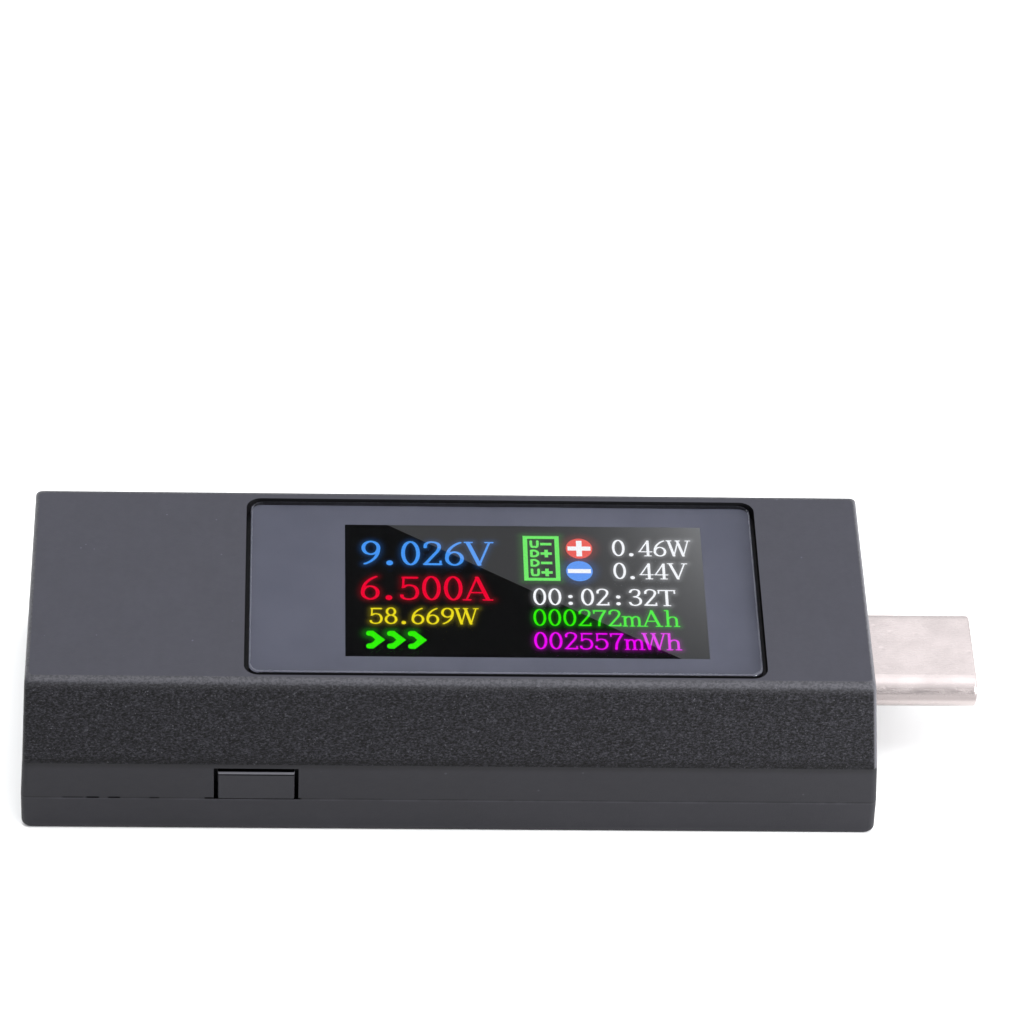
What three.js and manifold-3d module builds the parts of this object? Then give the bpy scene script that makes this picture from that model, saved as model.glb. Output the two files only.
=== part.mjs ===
// USB power meter: a plug-in tester with a USB-C plug at one end, a USB-C receptacle at the other,
// a colour display under a clear window and one button in the front wall.
// Millimetres. The origin is the bottom centre of the whole object. X runs from the receptacle to the
// plug, Y from the button's wall to the back wall, and Z up through the display.
import * as THREE from "three";
import { mergeVertices } from "three/addons/utils/BufferGeometryUtils.js";
import Module from "manifold-3d";

const wasm = await Module();
wasm.setup();

// ---- Driving dimensions ----

// casing
const CASE_LENGTH = 57;
const CASE_WIDTH = 22.4;
const CASE_HEIGHT = 12;
const PARTING_Z = 2.7; // where the two shells meet
const LEAN_Z = 5.7; // the walls lean in above this
const SIDE_LEAN = 1.15; // how far each long wall has leaned in at the top
const END_LEAN = { left: 0.23, right: 0.41 };
const END_DRAFT = 0.15; // how far each end wall draws in from the parting line up to LEAN_Z
const CORNER_RADIUS = 0.4;
const TOP_EDGE = { height: 0.55, side: 0.55, end: 0.3 };
const BOTTOM_EDGE = { height: 0.5, side: 0.15, end: 0.5 };
const WALL = 1.6;
const FLOOR = 1.2;
const CEILING_Z = 10.4;
const LIP_HEIGHT = 0.9;
const LIP_THICKNESS = 0.6;
const FIT_GAP = 0.1; // between the two shells, and between a shell and what passes through it

// USB-C connectors
const PLUG_REACH = 7.1; // how far the plug stands out beyond the casing's foot
const PLUG_SHELL = { width: 8.25, height: 2.4, wall: 0.25 };
const RECEPTACLE_SHELL = { width: 8.94, height: 3.16, wall: 0.3 };
const CONNECTOR_Z = 5.8;
const CONTACTS_PER_ROW = 12;
const CONTACT_PITCH = 0.5;
const CONTACT_WIDTH = 0.25;
const CONTACT_THICKNESS = 0.1;

// places along X
const CASE_LEFT = -(CASE_LENGTH + PLUG_REACH) / 2;
const CASE_RIGHT = CASE_LEFT + CASE_LENGTH;
const CASE_MIDDLE = (CASE_LEFT + CASE_RIGHT) / 2;
const PLUG_TIP = CASE_RIGHT + PLUG_REACH;

// window and display, all centred on the object's own X and Y unless a place is given
const RECESS = { length: 34.6, width: 18.6, radius: 1.0, y: -0.1 };
const WINDOW = { length: 34.0, width: 18.0, radius: 0.8, y: 0.05, thickness: 0.7, top: 11.9 };
const TAPE_THICKNESS = 0.15;
const RECESS_FLOOR = WINDOW.top - WINDOW.thickness - TAPE_THICKNESS;
const OPENING = { left: -16.1, right: 15.3, width: 17.9 };
const PANEL = { left: -15.5, right: 15.1, width: 17.6, glass: 0.45, top: 11.15 };
const DRIVER_LEDGE = 3.6;
const BACKLIGHT_HEIGHT = 0.9;

// board
const BOARD = { left: -30.1, right: 22.8, width: 18.2, thickness: 1.0 };
const BOARD_TOP = CONNECTOR_Z + BOARD.thickness / 2;
const BOARD_BOTTOM = CONNECTOR_Z - BOARD.thickness / 2;
const SOLDER_GAP = 0.03;
const POST_PLACES = [-27.5, 20.3].flatMap((x) => [-7.3, 7.3].map((y) => [x, y]));
const POST_RADIUS = 1.1;
const PIN_RADIUS = 0.5;

// button and switch
const BUTTON_X = -16.43;
const BUTTON = { width: 5.1, bottom: 2.73, top: 5.0, edge: 0.22, sideEdge: 0.08 };
const NOTCH = { width: 5.62, top: 5.36 };
const FLANGE = { width: 6.4, bottom: 2.2, top: 5.22, thickness: 0.6 };
const BUTTON_REST_GAP = 0.05;
const SWITCH_Z = 3.8;
const SWITCH = { width: 6.0, bottom: 2.35, top: 5.2, front: -7.4, back: -4.4 };
const PLUNGER_STAND_OUT = 0.85;

const FRONT = -CASE_WIDTH / 2;
const INNER_FRONT = FRONT + WALL;

// ---- Solids ----

// A closed geometry as a solid that can be joined and cut.
function solid(geometry) {
  const plain = geometry.clone();
  plain.deleteAttribute("normal");
  plain.deleteAttribute("uv");
  const merged = mergeVertices(plain, 1e-4);
  return new wasm.Manifold(
    new wasm.Mesh({
      numProp: 3,
      vertProperties: new Float32Array(merged.attributes.position.array),
      triVerts: new Uint32Array(merged.index.array),
    }),
  );
}

// A solid as a geometry again.
function geometryOf(made) {
  const mesh = made.getMesh();
  const geometry = new THREE.BufferGeometry();
  geometry.setAttribute("position", new THREE.BufferAttribute(mesh.vertProperties, 3));
  geometry.setIndex(new THREE.BufferAttribute(mesh.triVerts, 1));
  geometry.computeVertexNormals();
  return geometry;
}

function join(...solids) {
  return solids.reduce((a, b) => a.add(b));
}

function cut(body, ...tools) {
  return tools.reduce((a, b) => a.subtract(b), body);
}

// A box from its lowest and highest X, Y and Z.
function box([x0, x1], [y0, y1], [z0, z1]) {
  const geometry = new THREE.BoxGeometry(x1 - x0, y1 - y0, z1 - z0);
  geometry.translate((x0 + x1) / 2, (y0 + y1) / 2, (z0 + z1) / 2);
  return solid(geometry);
}

function cylinder(x, y, radius, [z0, z1], sides = 20) {
  const geometry = new THREE.CylinderGeometry(radius, radius, z1 - z0, sides);
  geometry.rotateX(Math.PI / 2);
  geometry.translate(x, y, (z0 + z1) / 2);
  return solid(geometry);
}

// A rectangle with round corners, centred on the drawing's origin.
function roundedRectangle(length, width, radius) {
  const x = length / 2 - radius;
  const y = width / 2 - radius;
  const outline = new THREE.Shape();
  outline.absarc(x, y, radius, 0, Math.PI / 2);
  outline.absarc(-x, y, radius, Math.PI / 2, Math.PI);
  outline.absarc(-x, -y, radius, Math.PI, Math.PI * 1.5);
  outline.absarc(x, -y, radius, Math.PI * 1.5, Math.PI * 2);
  return outline;
}

// The outline of a USB-C shell: two straight sides and two half circles.
function stadium(width, height) {
  return roundedRectangle(width, height, height / 2 - 0.001);
}

// A closed outline round a bent strip: the line through the points, half the thickness to each side.
function strip(points, thickness) {
  const line = points.map(([x, y]) => new THREE.Vector2(x, y));
  const offset = (i) => {
    const before = line[i].clone().sub(line[Math.max(i - 1, 0)]);
    const after = line[Math.min(i + 1, line.length - 1)].clone().sub(line[i]);
    const along = before.normalize().add(after.normalize()).normalize();
    const reference = i > 0 ? before : after;
    const widening = 1 / Math.max(reference.dot(along), 0.3);
    return new THREE.Vector2(-along.y, along.x).multiplyScalar((widening * thickness) / 2);
  };
  const left = line.map((p, i) => p.clone().add(offset(i)));
  const right = line.map((p, i) => p.clone().sub(offset(i)));
  return new THREE.Shape([...right, ...left.reverse()]);
}

// Which way a drawing's own X, Y and depth point in space, for an extrusion along each axis.
const ALONG = {
  x: [new THREE.Vector3(0, 1, 0), new THREE.Vector3(0, 0, 1), new THREE.Vector3(1, 0, 0)],
  y: [new THREE.Vector3(1, 0, 0), new THREE.Vector3(0, 0, 1), new THREE.Vector3(0, -1, 0)],
  z: [new THREE.Vector3(1, 0, 0), new THREE.Vector3(0, 1, 0), new THREE.Vector3(0, 0, 1)],
};

// An outline drawn out along an axis from one place to another, and moved by at = [x, y, z].
function prism(outline, axis, [from, to], at = [0, 0, 0], curveSegments = 3) {
  const settings = { depth: to - from, bevelEnabled: false, curveSegments };
  const geometry = new THREE.ExtrudeGeometry(outline, settings);
  geometry.applyMatrix4(new THREE.Matrix4().makeBasis(...ALONG[axis]));
  const start = { x: [from, 0, 0], y: [0, to, 0], z: [0, 0, from] }[axis];
  geometry.translate(start[0] + at[0], start[1] + at[1], start[2] + at[2]);
  return solid(geometry);
}

// A block of which every level has its own size, and may be moved along X. levels is a list of
// {z, length, width, shift}, from the bottom.
function levelledBlock(radius, levels, curveSegments = 3) {
  const { length, width } = levels[0];
  const steps = levels.length - 1;
  const settings = { depth: steps, steps, bevelEnabled: false, curveSegments };
  const geometry = new THREE.ExtrudeGeometry(roundedRectangle(length, width, radius), settings);
  const points = geometry.attributes.position;
  for (let i = 0; i < points.count; i++) {
    const level = levels[Math.round(points.getZ(i))];
    const x = (points.getX(i) * level.length) / length + (level.shift ?? 0);
    const y = (points.getY(i) * level.width) / width;
    points.setXYZ(i, x, y, level.z);
  }
  return geometry;
}

// The levels of a rounded edge. from is where it starts, on a wall of that size, and it ends flat,
// a height above or below. side and end are how far it draws in the long sides and the two ends.
function roundedEdge(from, { height, side = height, end = side }, steps, towards) {
  return Array.from({ length: steps }, (_, i) => {
    const angle = ((i + 1) / steps) * (Math.PI / 2);
    const share = 1 - Math.cos(angle);
    return {
      ...from,
      z: from.z + towards * height * Math.sin(angle),
      length: from.length - 2 * end * share,
      width: from.width - 2 * side * share,
    };
  });
}

// ---- Casing ----

// The casing's size at a height, less an even margin.
function caseLevel(z, margin = 0) {
  const lean = Math.max(z - LEAN_Z, 0) / (CASE_HEIGHT - LEAN_Z);
  const draft = Math.min(Math.max(z - PARTING_Z, 0) / (LEAN_Z - PARTING_Z), 1);
  const { left, right } = END_LEAN;
  return {
    z,
    length: CASE_LENGTH - (left + right) * lean - 2 * (END_DRAFT * draft + margin),
    width: CASE_WIDTH - 2 * (SIDE_LEAN * lean + margin),
    shift: ((left - right) / 2) * lean,
  };
}

function atCaseMiddle(geometry) {
  geometry.translate(CASE_MIDDLE, 0, 0);
  return solid(geometry);
}

// A plain block with the casing's outline at LEAN_Z, less a margin.
function caseCore(margin, z0, z1) {
  const bottom = caseLevel(LEAN_Z, margin);
  return atCaseMiddle(levelledBlock(CORNER_RADIUS, [{ ...bottom, z: z0 }, { ...bottom, z: z1 }]));
}

// The mouth in an end wall round a connector: its own outline, and a slot down past the parting line.
function connectorMouth(shell, [x0, x1]) {
  const width = shell.width + 0.3;
  const height = shell.height + 0.3;
  return join(
    prism(stadium(width, height), "x", [x0, x1], [0, 0, CONNECTOR_Z], 5),
    box([x0, x1], [-width / 2, width / 2], [PARTING_Z - 1, CONNECTOR_Z]),
  );
}

// What closes the slot below a connector: a tab on the lower case, hollowed to the connector's shape.
// Its outer face follows the end wall's draft.
function connectorTab(shell, top, [x0, x1]) {
  const half = shell.width / 2 + 0.15 - FIT_GAP;
  const foot = caseLevel(PARTING_Z);
  const inside = atCaseMiddle(
    levelledBlock(CORNER_RADIUS, [{ ...foot, z: PARTING_Z - 1 }, foot, caseLevel(LEAN_Z)]),
  );
  const outside = cut(box([x0 - 1, x1 + 1], [-half - 1, half + 1], [PARTING_Z - 1, LEAN_Z]), inside);
  const hollow = prism(
    stadium(shell.width + 0.3, shell.height + 0.3),
    "x",
    [x0 - 1, x1 + 1],
    [0, 0, CONNECTOR_Z],
    5,
  );
  return cut(box([x0, x1], [-half, half], [PARTING_Z - 0.6, top]), hollow, outside);
}

const SNAP_PLACES = [-24, 14].flatMap((x) => [-1, 1].map((side) => [x, side]));
const SNAP = { length: 4, depth: 0.3, bottom: 3.05, top: 3.35 };

function snapBox([x, side], extra) {
  const lipFace = CASE_WIDTH / 2 - WALL + LIP_THICKNESS;
  const y = [lipFace - 0.2, lipFace + SNAP.depth + extra].map((v) => v * side);
  return box(
    [x - SNAP.length / 2 - extra, x + SNAP.length / 2 + extra],
    y.sort((a, b) => a - b),
    [SNAP.bottom - extra, SNAP.top + extra],
  );
}

function upperCase() {
  const shoulder = caseLevel(CASE_HEIGHT - TOP_EDGE.height);
  const outer = atCaseMiddle(
    levelledBlock(CORNER_RADIUS, [
      caseLevel(PARTING_Z),
      caseLevel(LEAN_Z),
      shoulder,
      ...roundedEdge(shoulder, TOP_EDGE, 6, 1),
    ]),
  );
  const cavityFoot = { ...caseLevel(LEAN_Z, WALL), z: PARTING_Z - 1 };
  const cavity = atCaseMiddle(
    levelledBlock(CORNER_RADIUS, [
      cavityFoot,
      { ...cavityFoot, z: LEAN_Z },
      { z: CEILING_Z, length: cavityFoot.length - 0.5, width: cavityFoot.width - 1.1 },
    ]),
  );
  const rebate = caseCore(WALL - LIP_THICKNESS - FIT_GAP, PARTING_Z - 1, PARTING_Z + LIP_HEIGHT + FIT_GAP);
  const recess = prism(
    roundedRectangle(RECESS.length, RECESS.width, RECESS.radius),
    "z",
    [RECESS_FLOOR, CASE_HEIGHT + 1],
    [0, RECESS.y, 0],
    5,
  );
  const opening = box(
    [OPENING.left, OPENING.right],
    [-OPENING.width / 2, OPENING.width / 2],
    [CEILING_Z - 1, CASE_HEIGHT],
  );
  const notch = box(
    [BUTTON_X - NOTCH.width / 2, BUTTON_X + NOTCH.width / 2],
    [FRONT - 1, INNER_FRONT + 0.5],
    [PARTING_Z - 1, NOTCH.top],
  );
  const shell = cut(
    outer,
    cavity,
    rebate,
    recess,
    opening,
    notch,
    connectorMouth(PLUG_SHELL, [CASE_RIGHT - WALL - 1, CASE_RIGHT + 1]),
    connectorMouth(RECEPTACLE_SHELL, [CASE_LEFT - 1, CASE_LEFT + WALL + 1]),
    ...SNAP_PLACES.map((place) => snapBox(place, 0.15)),
  );
  const posts = POST_PLACES.map(([x, y]) =>
    cylinder(x, y, POST_RADIUS, [BOARD_TOP + 0.05, CEILING_Z + 0.3]),
  );
  return join(shell, ...posts);
}

function lowerCase() {
  const rim = caseLevel(PARTING_Z);
  const wall = { ...rim, z: BOTTOM_EDGE.height };
  const edge = roundedEdge(wall, BOTTOM_EDGE, 5, -1).reverse();
  const outer = atCaseMiddle(levelledBlock(CORNER_RADIUS, [...edge, wall, rim]));
  const lip = caseCore(WALL - LIP_THICKNESS, PARTING_Z - 0.5, PARTING_Z + LIP_HEIGHT);
  const cavity = caseCore(WALL, FLOOR, CASE_HEIGHT);
  const buttonGap = box(
    [BUTTON_X - NOTCH.width / 2, BUTTON_X + NOTCH.width / 2],
    [FRONT - 1, INNER_FRONT + 0.5],
    [PARTING_Z, CASE_HEIGHT],
  );
  const connectorGaps = [
    [PLUG_SHELL, CASE_RIGHT],
    [RECEPTACLE_SHELL, CASE_LEFT],
  ].map(([shell, x]) => {
    const half = shell.width / 2 + 0.15;
    return box([x - WALL - 1, x + WALL + 1], [-half, half], [PARTING_Z, CASE_HEIGHT]);
  });
  const tray = cut(join(outer, lip), cavity, buttonGap, ...connectorGaps);
  const posts = POST_PLACES.flatMap(([x, y]) => [
    cylinder(x, y, POST_RADIUS, [FLOOR - 0.3, BOARD_BOTTOM - 0.05]),
    cylinder(x, y, PIN_RADIUS, [FLOOR, BOARD_TOP - 0.3], 12),
  ]);
  return join(
    tray,
    connectorTab(PLUG_SHELL, 4.8, [CASE_RIGHT - WALL, CASE_RIGHT]),
    connectorTab(RECEPTACLE_SHELL, 4.6, [CASE_LEFT, CASE_LEFT + WALL]),
    ...SNAP_PLACES.map((place) => snapBox(place, 0)),
    ...posts,
  );
}

// ---- Window and display ----

function displayWindow() {
  const { length, width, radius, y, thickness, top } = WINDOW;
  const foot = { z: top - thickness, length, width };
  const rim = { z: top - 0.12, length, width };
  const plate = levelledBlock(radius, [foot, rim, ...roundedEdge(rim, { height: 0.12 }, 3, 1)], 5);
  plate.translate(0, y, 0);
  return solid(plate);
}

function windowTape([x0, x1]) {
  const half = WINDOW.width / 2 - 0.1;
  return box([x0, x1], [-half, half], [RECESS_FLOOR, RECESS_FLOOR + TAPE_THICKNESS]);
}

// Two sheets of glass. The lower one is longer, and its bare end carries the driver chip.
function lcdPanel() {
  const half = PANEL.width / 2;
  const bottom = PANEL.top - 2 * PANEL.glass;
  return join(
    box([PANEL.left, PANEL.right], [-half, half], [bottom, bottom + PANEL.glass]),
    box([PANEL.left + DRIVER_LEDGE, PANEL.right], [-half, half], [bottom + PANEL.glass - 0.05, PANEL.top]),
  );
}

function lcdDriverChip() {
  const ledge = PANEL.top - PANEL.glass;
  const x = PANEL.left + DRIVER_LEDGE - 1.5;
  return box([x - 0.4, x + 0.4], [-6.5, 6.5], [ledge + 0.02, ledge + 0.32]);
}

const BACKLIGHT_TOP = PANEL.top - 2 * PANEL.glass - 0.05;
const BACKLIGHT_BOTTOM = BACKLIGHT_TOP - BACKLIGHT_HEIGHT;
const BACKLIGHT_LEFT = PANEL.left + 0.5;
const GUIDE_MARGIN = 1.0;

function backlightFrame() {
  const half = PANEL.width / 2;
  const outer = box([BACKLIGHT_LEFT, PANEL.right], [-half, half], [BACKLIGHT_BOTTOM, BACKLIGHT_TOP]);
  const pocket = box(
    [BACKLIGHT_LEFT + GUIDE_MARGIN, PANEL.right - GUIDE_MARGIN],
    [-half + GUIDE_MARGIN, half - GUIDE_MARGIN],
    [BACKLIGHT_BOTTOM + 0.2, BACKLIGHT_TOP + 1],
  );
  return cut(outer, pocket);
}

function lightGuide() {
  const margin = GUIDE_MARGIN + 0.05;
  const half = PANEL.width / 2 - margin;
  return box(
    [BACKLIGHT_LEFT + margin, PANEL.right - margin],
    [-half, half],
    [BACKLIGHT_BOTTOM + 0.22, BACKLIGHT_TOP - 0.05],
  );
}

// The ribbon leaves the bare glass end, turns down past the backlight and lies on the board.
function lcdRibbon() {
  const ledge = PANEL.top - PANEL.glass + 0.08;
  const foot = BOARD_TOP + 0.12;
  const bend = 0.3;
  const fall = PANEL.left - 0.35;
  const quarter = [0, 1, 2, 3, 4].map((i) => (i / 4) * (Math.PI / 2));
  const centre = fall + bend;
  const upperBend = quarter.map((a) => [centre - bend * Math.sin(a), ledge - bend + bend * Math.cos(a)]);
  const lowerBend = quarter.map((a) => [centre - bend * Math.cos(a), foot + bend - bend * Math.sin(a)]);
  const path = [[PANEL.left + 0.6, ledge], ...upperBend, ...lowerBend, [PANEL.left + 3.2, foot]];
  return prism(strip(path, 0.12), "y", [-5, 5]);
}

function lcdFoam([x0, x1]) {
  return box([x0, x1], [-6, 6], [BOARD_TOP + 0.02, BACKLIGHT_BOTTOM - 0.02]);
}

// ---- Button and switch ----

// The key's face is rounded at the top and a little at the sides, and cut off square at the bottom.
function sideButton() {
  const { width, edge, sideEdge, top } = BUTTON;
  const foot = BUTTON.bottom - edge;
  const depth = INNER_FRONT - FRONT + 0.2;
  const rim = { z: depth - edge, length: width, width: top - foot };
  const face = roundedEdge(rim, { height: edge, side: edge, end: sideEdge }, 4, 1);
  const whole = levelledBlock(sideEdge, [{ ...rim, z: 0 }, rim, ...face]);
  whole.rotateX(Math.PI / 2);
  whole.translate(BUTTON_X, FRONT + depth, (top + foot) / 2);
  const below = box([BUTTON_X - width, BUTTON_X + width], [FRONT - 1, 0], [foot - 1, BUTTON.bottom]);
  const key = cut(solid(whole), below);
  const flangeFront = INNER_FRONT + BUTTON_REST_GAP;
  const flangeBack = flangeFront + FLANGE.thickness;
  const flange = box(
    [BUTTON_X - FLANGE.width / 2, BUTTON_X + FLANGE.width / 2],
    [flangeFront, flangeBack],
    [FLANGE.bottom, FLANGE.top],
  );
  const stem = box(
    [BUTTON_X - 0.9, BUTTON_X + 0.9],
    [flangeBack - 0.1, SWITCH.front - PLUNGER_STAND_OUT - 0.05],
    [SWITCH_Z - 0.5, SWITCH_Z + 0.5],
  );
  return join(key, flange, stem);
}

// A box centred on the switch's own line, from its half width, its depths and its half height.
function onSwitchLine(halfWidth, depths, halfHeight) {
  return box(
    [BUTTON_X - halfWidth, BUTTON_X + halfWidth],
    depths,
    [SWITCH_Z - halfHeight, SWITCH_Z + halfHeight],
  );
}

const CHAMBER = [SWITCH.front + 0.6, SWITCH.front + 1.75];
const DOME_APEX = SWITCH.front + 1.32;

function switchHousing() {
  const outer = box(
    [BUTTON_X - SWITCH.width / 2, BUTTON_X + SWITCH.width / 2],
    [SWITCH.front, SWITCH.back],
    [SWITCH.bottom, SWITCH.top],
  );
  return cut(
    outer,
    onSwitchLine(1.7, CHAMBER, 1.1),
    onSwitchLine(1.1, [SWITCH.front - 1, SWITCH.front + 1], 0.65),
  );
}

// A bent sheet round the housing's front, ends and underside, open at the board and at the back.
function switchCover() {
  const gap = 0.05;
  const sheet = 0.2;
  const half = SWITCH.width / 2 + gap;
  const outer = box(
    [BUTTON_X - half - sheet, BUTTON_X + half + sheet],
    [SWITCH.front - gap - sheet, SWITCH.back - 0.6],
    [SWITCH.bottom - gap - sheet, SWITCH.top],
  );
  const inner = box(
    [BUTTON_X - half, BUTTON_X + half],
    [SWITCH.front - gap, SWITCH.back + 1],
    [SWITCH.bottom - gap, SWITCH.top + 1],
  );
  return cut(outer, inner, onSwitchLine(1.2, [SWITCH.front - 1, SWITCH.front], 0.75));
}

function switchPlunger() {
  const tip = SWITCH.front - PLUNGER_STAND_OUT;
  return join(
    onSwitchLine(1.05, [tip, CHAMBER[0] + 0.1], 0.6),
    onSwitchLine(1.45, [CHAMBER[0] + 0.05, CHAMBER[0] + 0.45], 0.9),
    onSwitchLine(0.4, [CHAMBER[0] + 0.4, DOME_APEX - 0.02], 0.4),
  );
}

// A thin sprung disc, bowed towards the plunger.
function switchDome() {
  const radius = 1.0;
  const bow = 0.35;
  const sheet = 0.07;
  const rings = [0, 1, 2, 3, 4, 5].map((i) => i / 5);
  const face = rings.map((t) => [radius * t, bow * t * t]);
  const profile = [...face, ...face.map(([r, h]) => [r, h + sheet]).reverse(), face[0]];
  const geometry = new THREE.LatheGeometry(
    profile.map(([r, h]) => new THREE.Vector2(r, h)),
    24,
  );
  geometry.translate(BUTTON_X, DOME_APEX, SWITCH_Z);
  return solid(geometry);
}

// ---- Connectors ----

// A row of contact fingers on one side of a connector, joined by a narrow bar inside its insulator.
// path is the finger's own line, as [x, height above the connector's middle]; grow widens it all round.
function contactRow(path, barX, side, grow = 0) {
  const line = path.map(([x, height]) => [x, CONNECTOR_Z + side * height]);
  const first = (-(CONTACTS_PER_ROW - 1) / 2) * CONTACT_PITCH;
  const outline = strip(line, CONTACT_THICKNESS + 2 * grow);
  const half = CONTACT_WIDTH / 2 + grow;
  const fingers = Array.from({ length: CONTACTS_PER_ROW }, (_, i) => {
    const y = first + i * CONTACT_PITCH;
    return prism(outline, "y", [y - half, y + half]);
  });
  const barZ = CONNECTOR_Z + side * barHeight(path, barX);
  const thick = CONTACT_THICKNESS / 2 + grow;
  const bar = box(
    [barX - 0.2 - grow, barX + 0.2 + grow],
    [first - grow, -first + grow],
    [barZ - thick, barZ + thick],
  );
  return join(bar, ...fingers);
}

// The height of a finger's line where the bar crosses it.
function barHeight(path, x) {
  const i = path.findIndex(([px], k) => k > 0 && (px - x) * (path[k - 1][0] - x) <= 0);
  const [x0, h0] = path[i - 1];
  const [x1, h1] = path[i];
  return h0 + ((h1 - h0) * (x - x0)) / (x1 - x0);
}

const TAIL_HEIGHT = BOARD.thickness / 2 + SOLDER_GAP + CONTACT_THICKNESS / 2;
const PLUG_ROOT = 19.8;
const PLUG_FINGER = [
  [18.2, TAIL_HEIGHT],
  [25.6, TAIL_HEIGHT],
  [29.2, 0.36],
  [30.4, 0.36],
  [31.0, 0.52],
];
const PLUG_BAR_X = 21;
const SLOT = { back: 25.4, width: 6.9, height: 0.95 };

function hollowShell(shell, [x0, x1]) {
  const inner = stadium(shell.width - 2 * shell.wall, shell.height - 2 * shell.wall);
  return prism(inner, "x", [x0 - 1, x1 + 1], [0, 0, CONNECTOR_Z], 5);
}

// A wing on each side of a shell, which lies on the board and is soldered to it.
function shellWings(shell, [x0, x1], reach) {
  const inside = shell.width / 2 - shell.wall;
  return [-1, 1].map((side) => {
    const y = [side * inside, side * (shell.width / 2 + reach)].sort((a, b) => a - b);
    return box([x0, x1], y, [BOARD_TOP + SOLDER_GAP, BOARD_TOP + SOLDER_GAP + 0.25]);
  });
}

// The plug's shell is a drawn tube with a rounded tip.
function plugShell() {
  const { width, height } = PLUG_SHELL;
  const round = 0.2;
  const back = { z: PLUG_ROOT, length: width, width: height };
  const rim = { ...back, z: PLUG_TIP - round };
  const tip = roundedEdge(rim, { height: round }, 4, 1);
  const tube = levelledBlock(height / 2 - 0.001, [back, rim, ...tip], 5);
  tube.applyMatrix4(new THREE.Matrix4().makeBasis(...ALONG.x));
  tube.translate(0, 0, CONNECTOR_Z);
  const wings = shellWings(PLUG_SHELL, [20, 21.6], 1.1);
  return cut(join(solid(tube), ...wings), hollowShell(PLUG_SHELL, [PLUG_ROOT, PLUG_TIP]));
}

// The latch is a flat fork whose hooked arms lie along the sides of the plug's slot.
function plugLatch(grow = 0) {
  const arm = (side) => {
    const path = [
      [30.6, side * 3.62],
      [29.9, side * 3.3],
      [29.0, side * 3.55],
      [20.6, side * 3.55],
    ];
    return prism(strip(path, 0.2 + 2 * grow), "z", [CONNECTOR_Z - 0.15 - grow, CONNECTOR_Z + 0.15 + grow]);
  };
  const base = box(
    [20.4 - grow, 20.8 + grow],
    [-3.65 - grow, 3.65 + grow],
    [CONNECTOR_Z - 0.15 - grow, CONNECTOR_Z + 0.15 + grow],
  );
  return join(arm(-1), arm(1), base);
}

function plugInsulator() {
  const gap = 0.05;
  const width = PLUG_SHELL.width - 2 * (PLUG_SHELL.wall + gap);
  const height = PLUG_SHELL.height - 2 * (PLUG_SHELL.wall + gap);
  const core = prism(stadium(width, height), "x", [PLUG_ROOT, PLUG_TIP - 0.45], [0, 0, CONNECTOR_Z], 5);
  const slot = prism(
    roundedRectangle(SLOT.width, SLOT.height, 0.2),
    "x",
    [SLOT.back, PLUG_TIP + 1],
    [0, 0, CONNECTOR_Z],
  );
  return cut(
    core,
    slot,
    contactRow(PLUG_FINGER, PLUG_BAR_X, 1, gap),
    contactRow(PLUG_FINGER, PLUG_BAR_X, -1, gap),
    plugLatch(gap),
  );
}

const MOUTH = CASE_LEFT + END_DRAFT + 0.15;
const RECEPTACLE_BACK = MOUTH + 7.4;
const TONGUE = { tip: MOUTH + 1.1, root: MOUTH + 5.6, width: 6.69, thickness: 0.7 };
const TONGUE_FINGER = [
  [RECEPTACLE_BACK + 1.5, TAIL_HEIGHT],
  [RECEPTACLE_BACK - 0.7, TAIL_HEIGHT],
  [TONGUE.root + 0.3, TONGUE.thickness / 2 - 0.03],
  [TONGUE.tip + 0.35, TONGUE.thickness / 2 - 0.03],
];
const TONGUE_BAR_X = RECEPTACLE_BACK - 0.4;

function receptacleShell() {
  const { width, height } = RECEPTACLE_SHELL;
  const tube = prism(stadium(width, height), "x", [MOUTH, RECEPTACLE_BACK], [0, 0, CONNECTOR_Z], 5);
  const wings = [
    ...shellWings(RECEPTACLE_SHELL, [-29.6, -28.2], 1.1),
    ...shellWings(RECEPTACLE_SHELL, [-26.2, -24.8], 1.1),
  ];
  return cut(join(tube, ...wings), hollowShell(RECEPTACLE_SHELL, [MOUTH, RECEPTACLE_BACK]));
}

// The plate that stiffens the tongue and shows along its two edges.
function receptaclePlate(grow = 0) {
  const half = 0.06 + grow;
  const levels = [CONNECTOR_Z - half, CONNECTOR_Z + half];
  const edge = TONGUE.width / 2 + grow;
  return join(
    box([TONGUE.tip + 0.3 - grow, TONGUE.root], [-edge, edge], levels),
    box([TONGUE.root - 0.1, RECEPTACLE_BACK + 0.15], [-2 - grow, 2 + grow], levels),
  );
}

function receptacleTongue() {
  const gap = 0.04;
  const inner = RECEPTACLE_SHELL.wall + 0.05;
  const base = prism(
    stadium(RECEPTACLE_SHELL.width - 2 * inner, RECEPTACLE_SHELL.height - 2 * inner),
    "x",
    [TONGUE.root, RECEPTACLE_BACK - 0.05],
    [0, 0, CONNECTOR_Z],
    5,
  );
  const halfThick = TONGUE.thickness / 2;
  const blade = box(
    [TONGUE.tip, TONGUE.root + 0.1],
    [-TONGUE.width / 2, TONGUE.width / 2],
    [CONNECTOR_Z - halfThick, CONNECTOR_Z + halfThick],
  );
  return cut(
    join(base, blade),
    contactRow(TONGUE_FINGER, TONGUE_BAR_X, 1, gap),
    contactRow(TONGUE_FINGER, TONGUE_BAR_X, -1, gap),
    receptaclePlate(gap),
  );
}

// ---- Board and its parts ----

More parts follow.
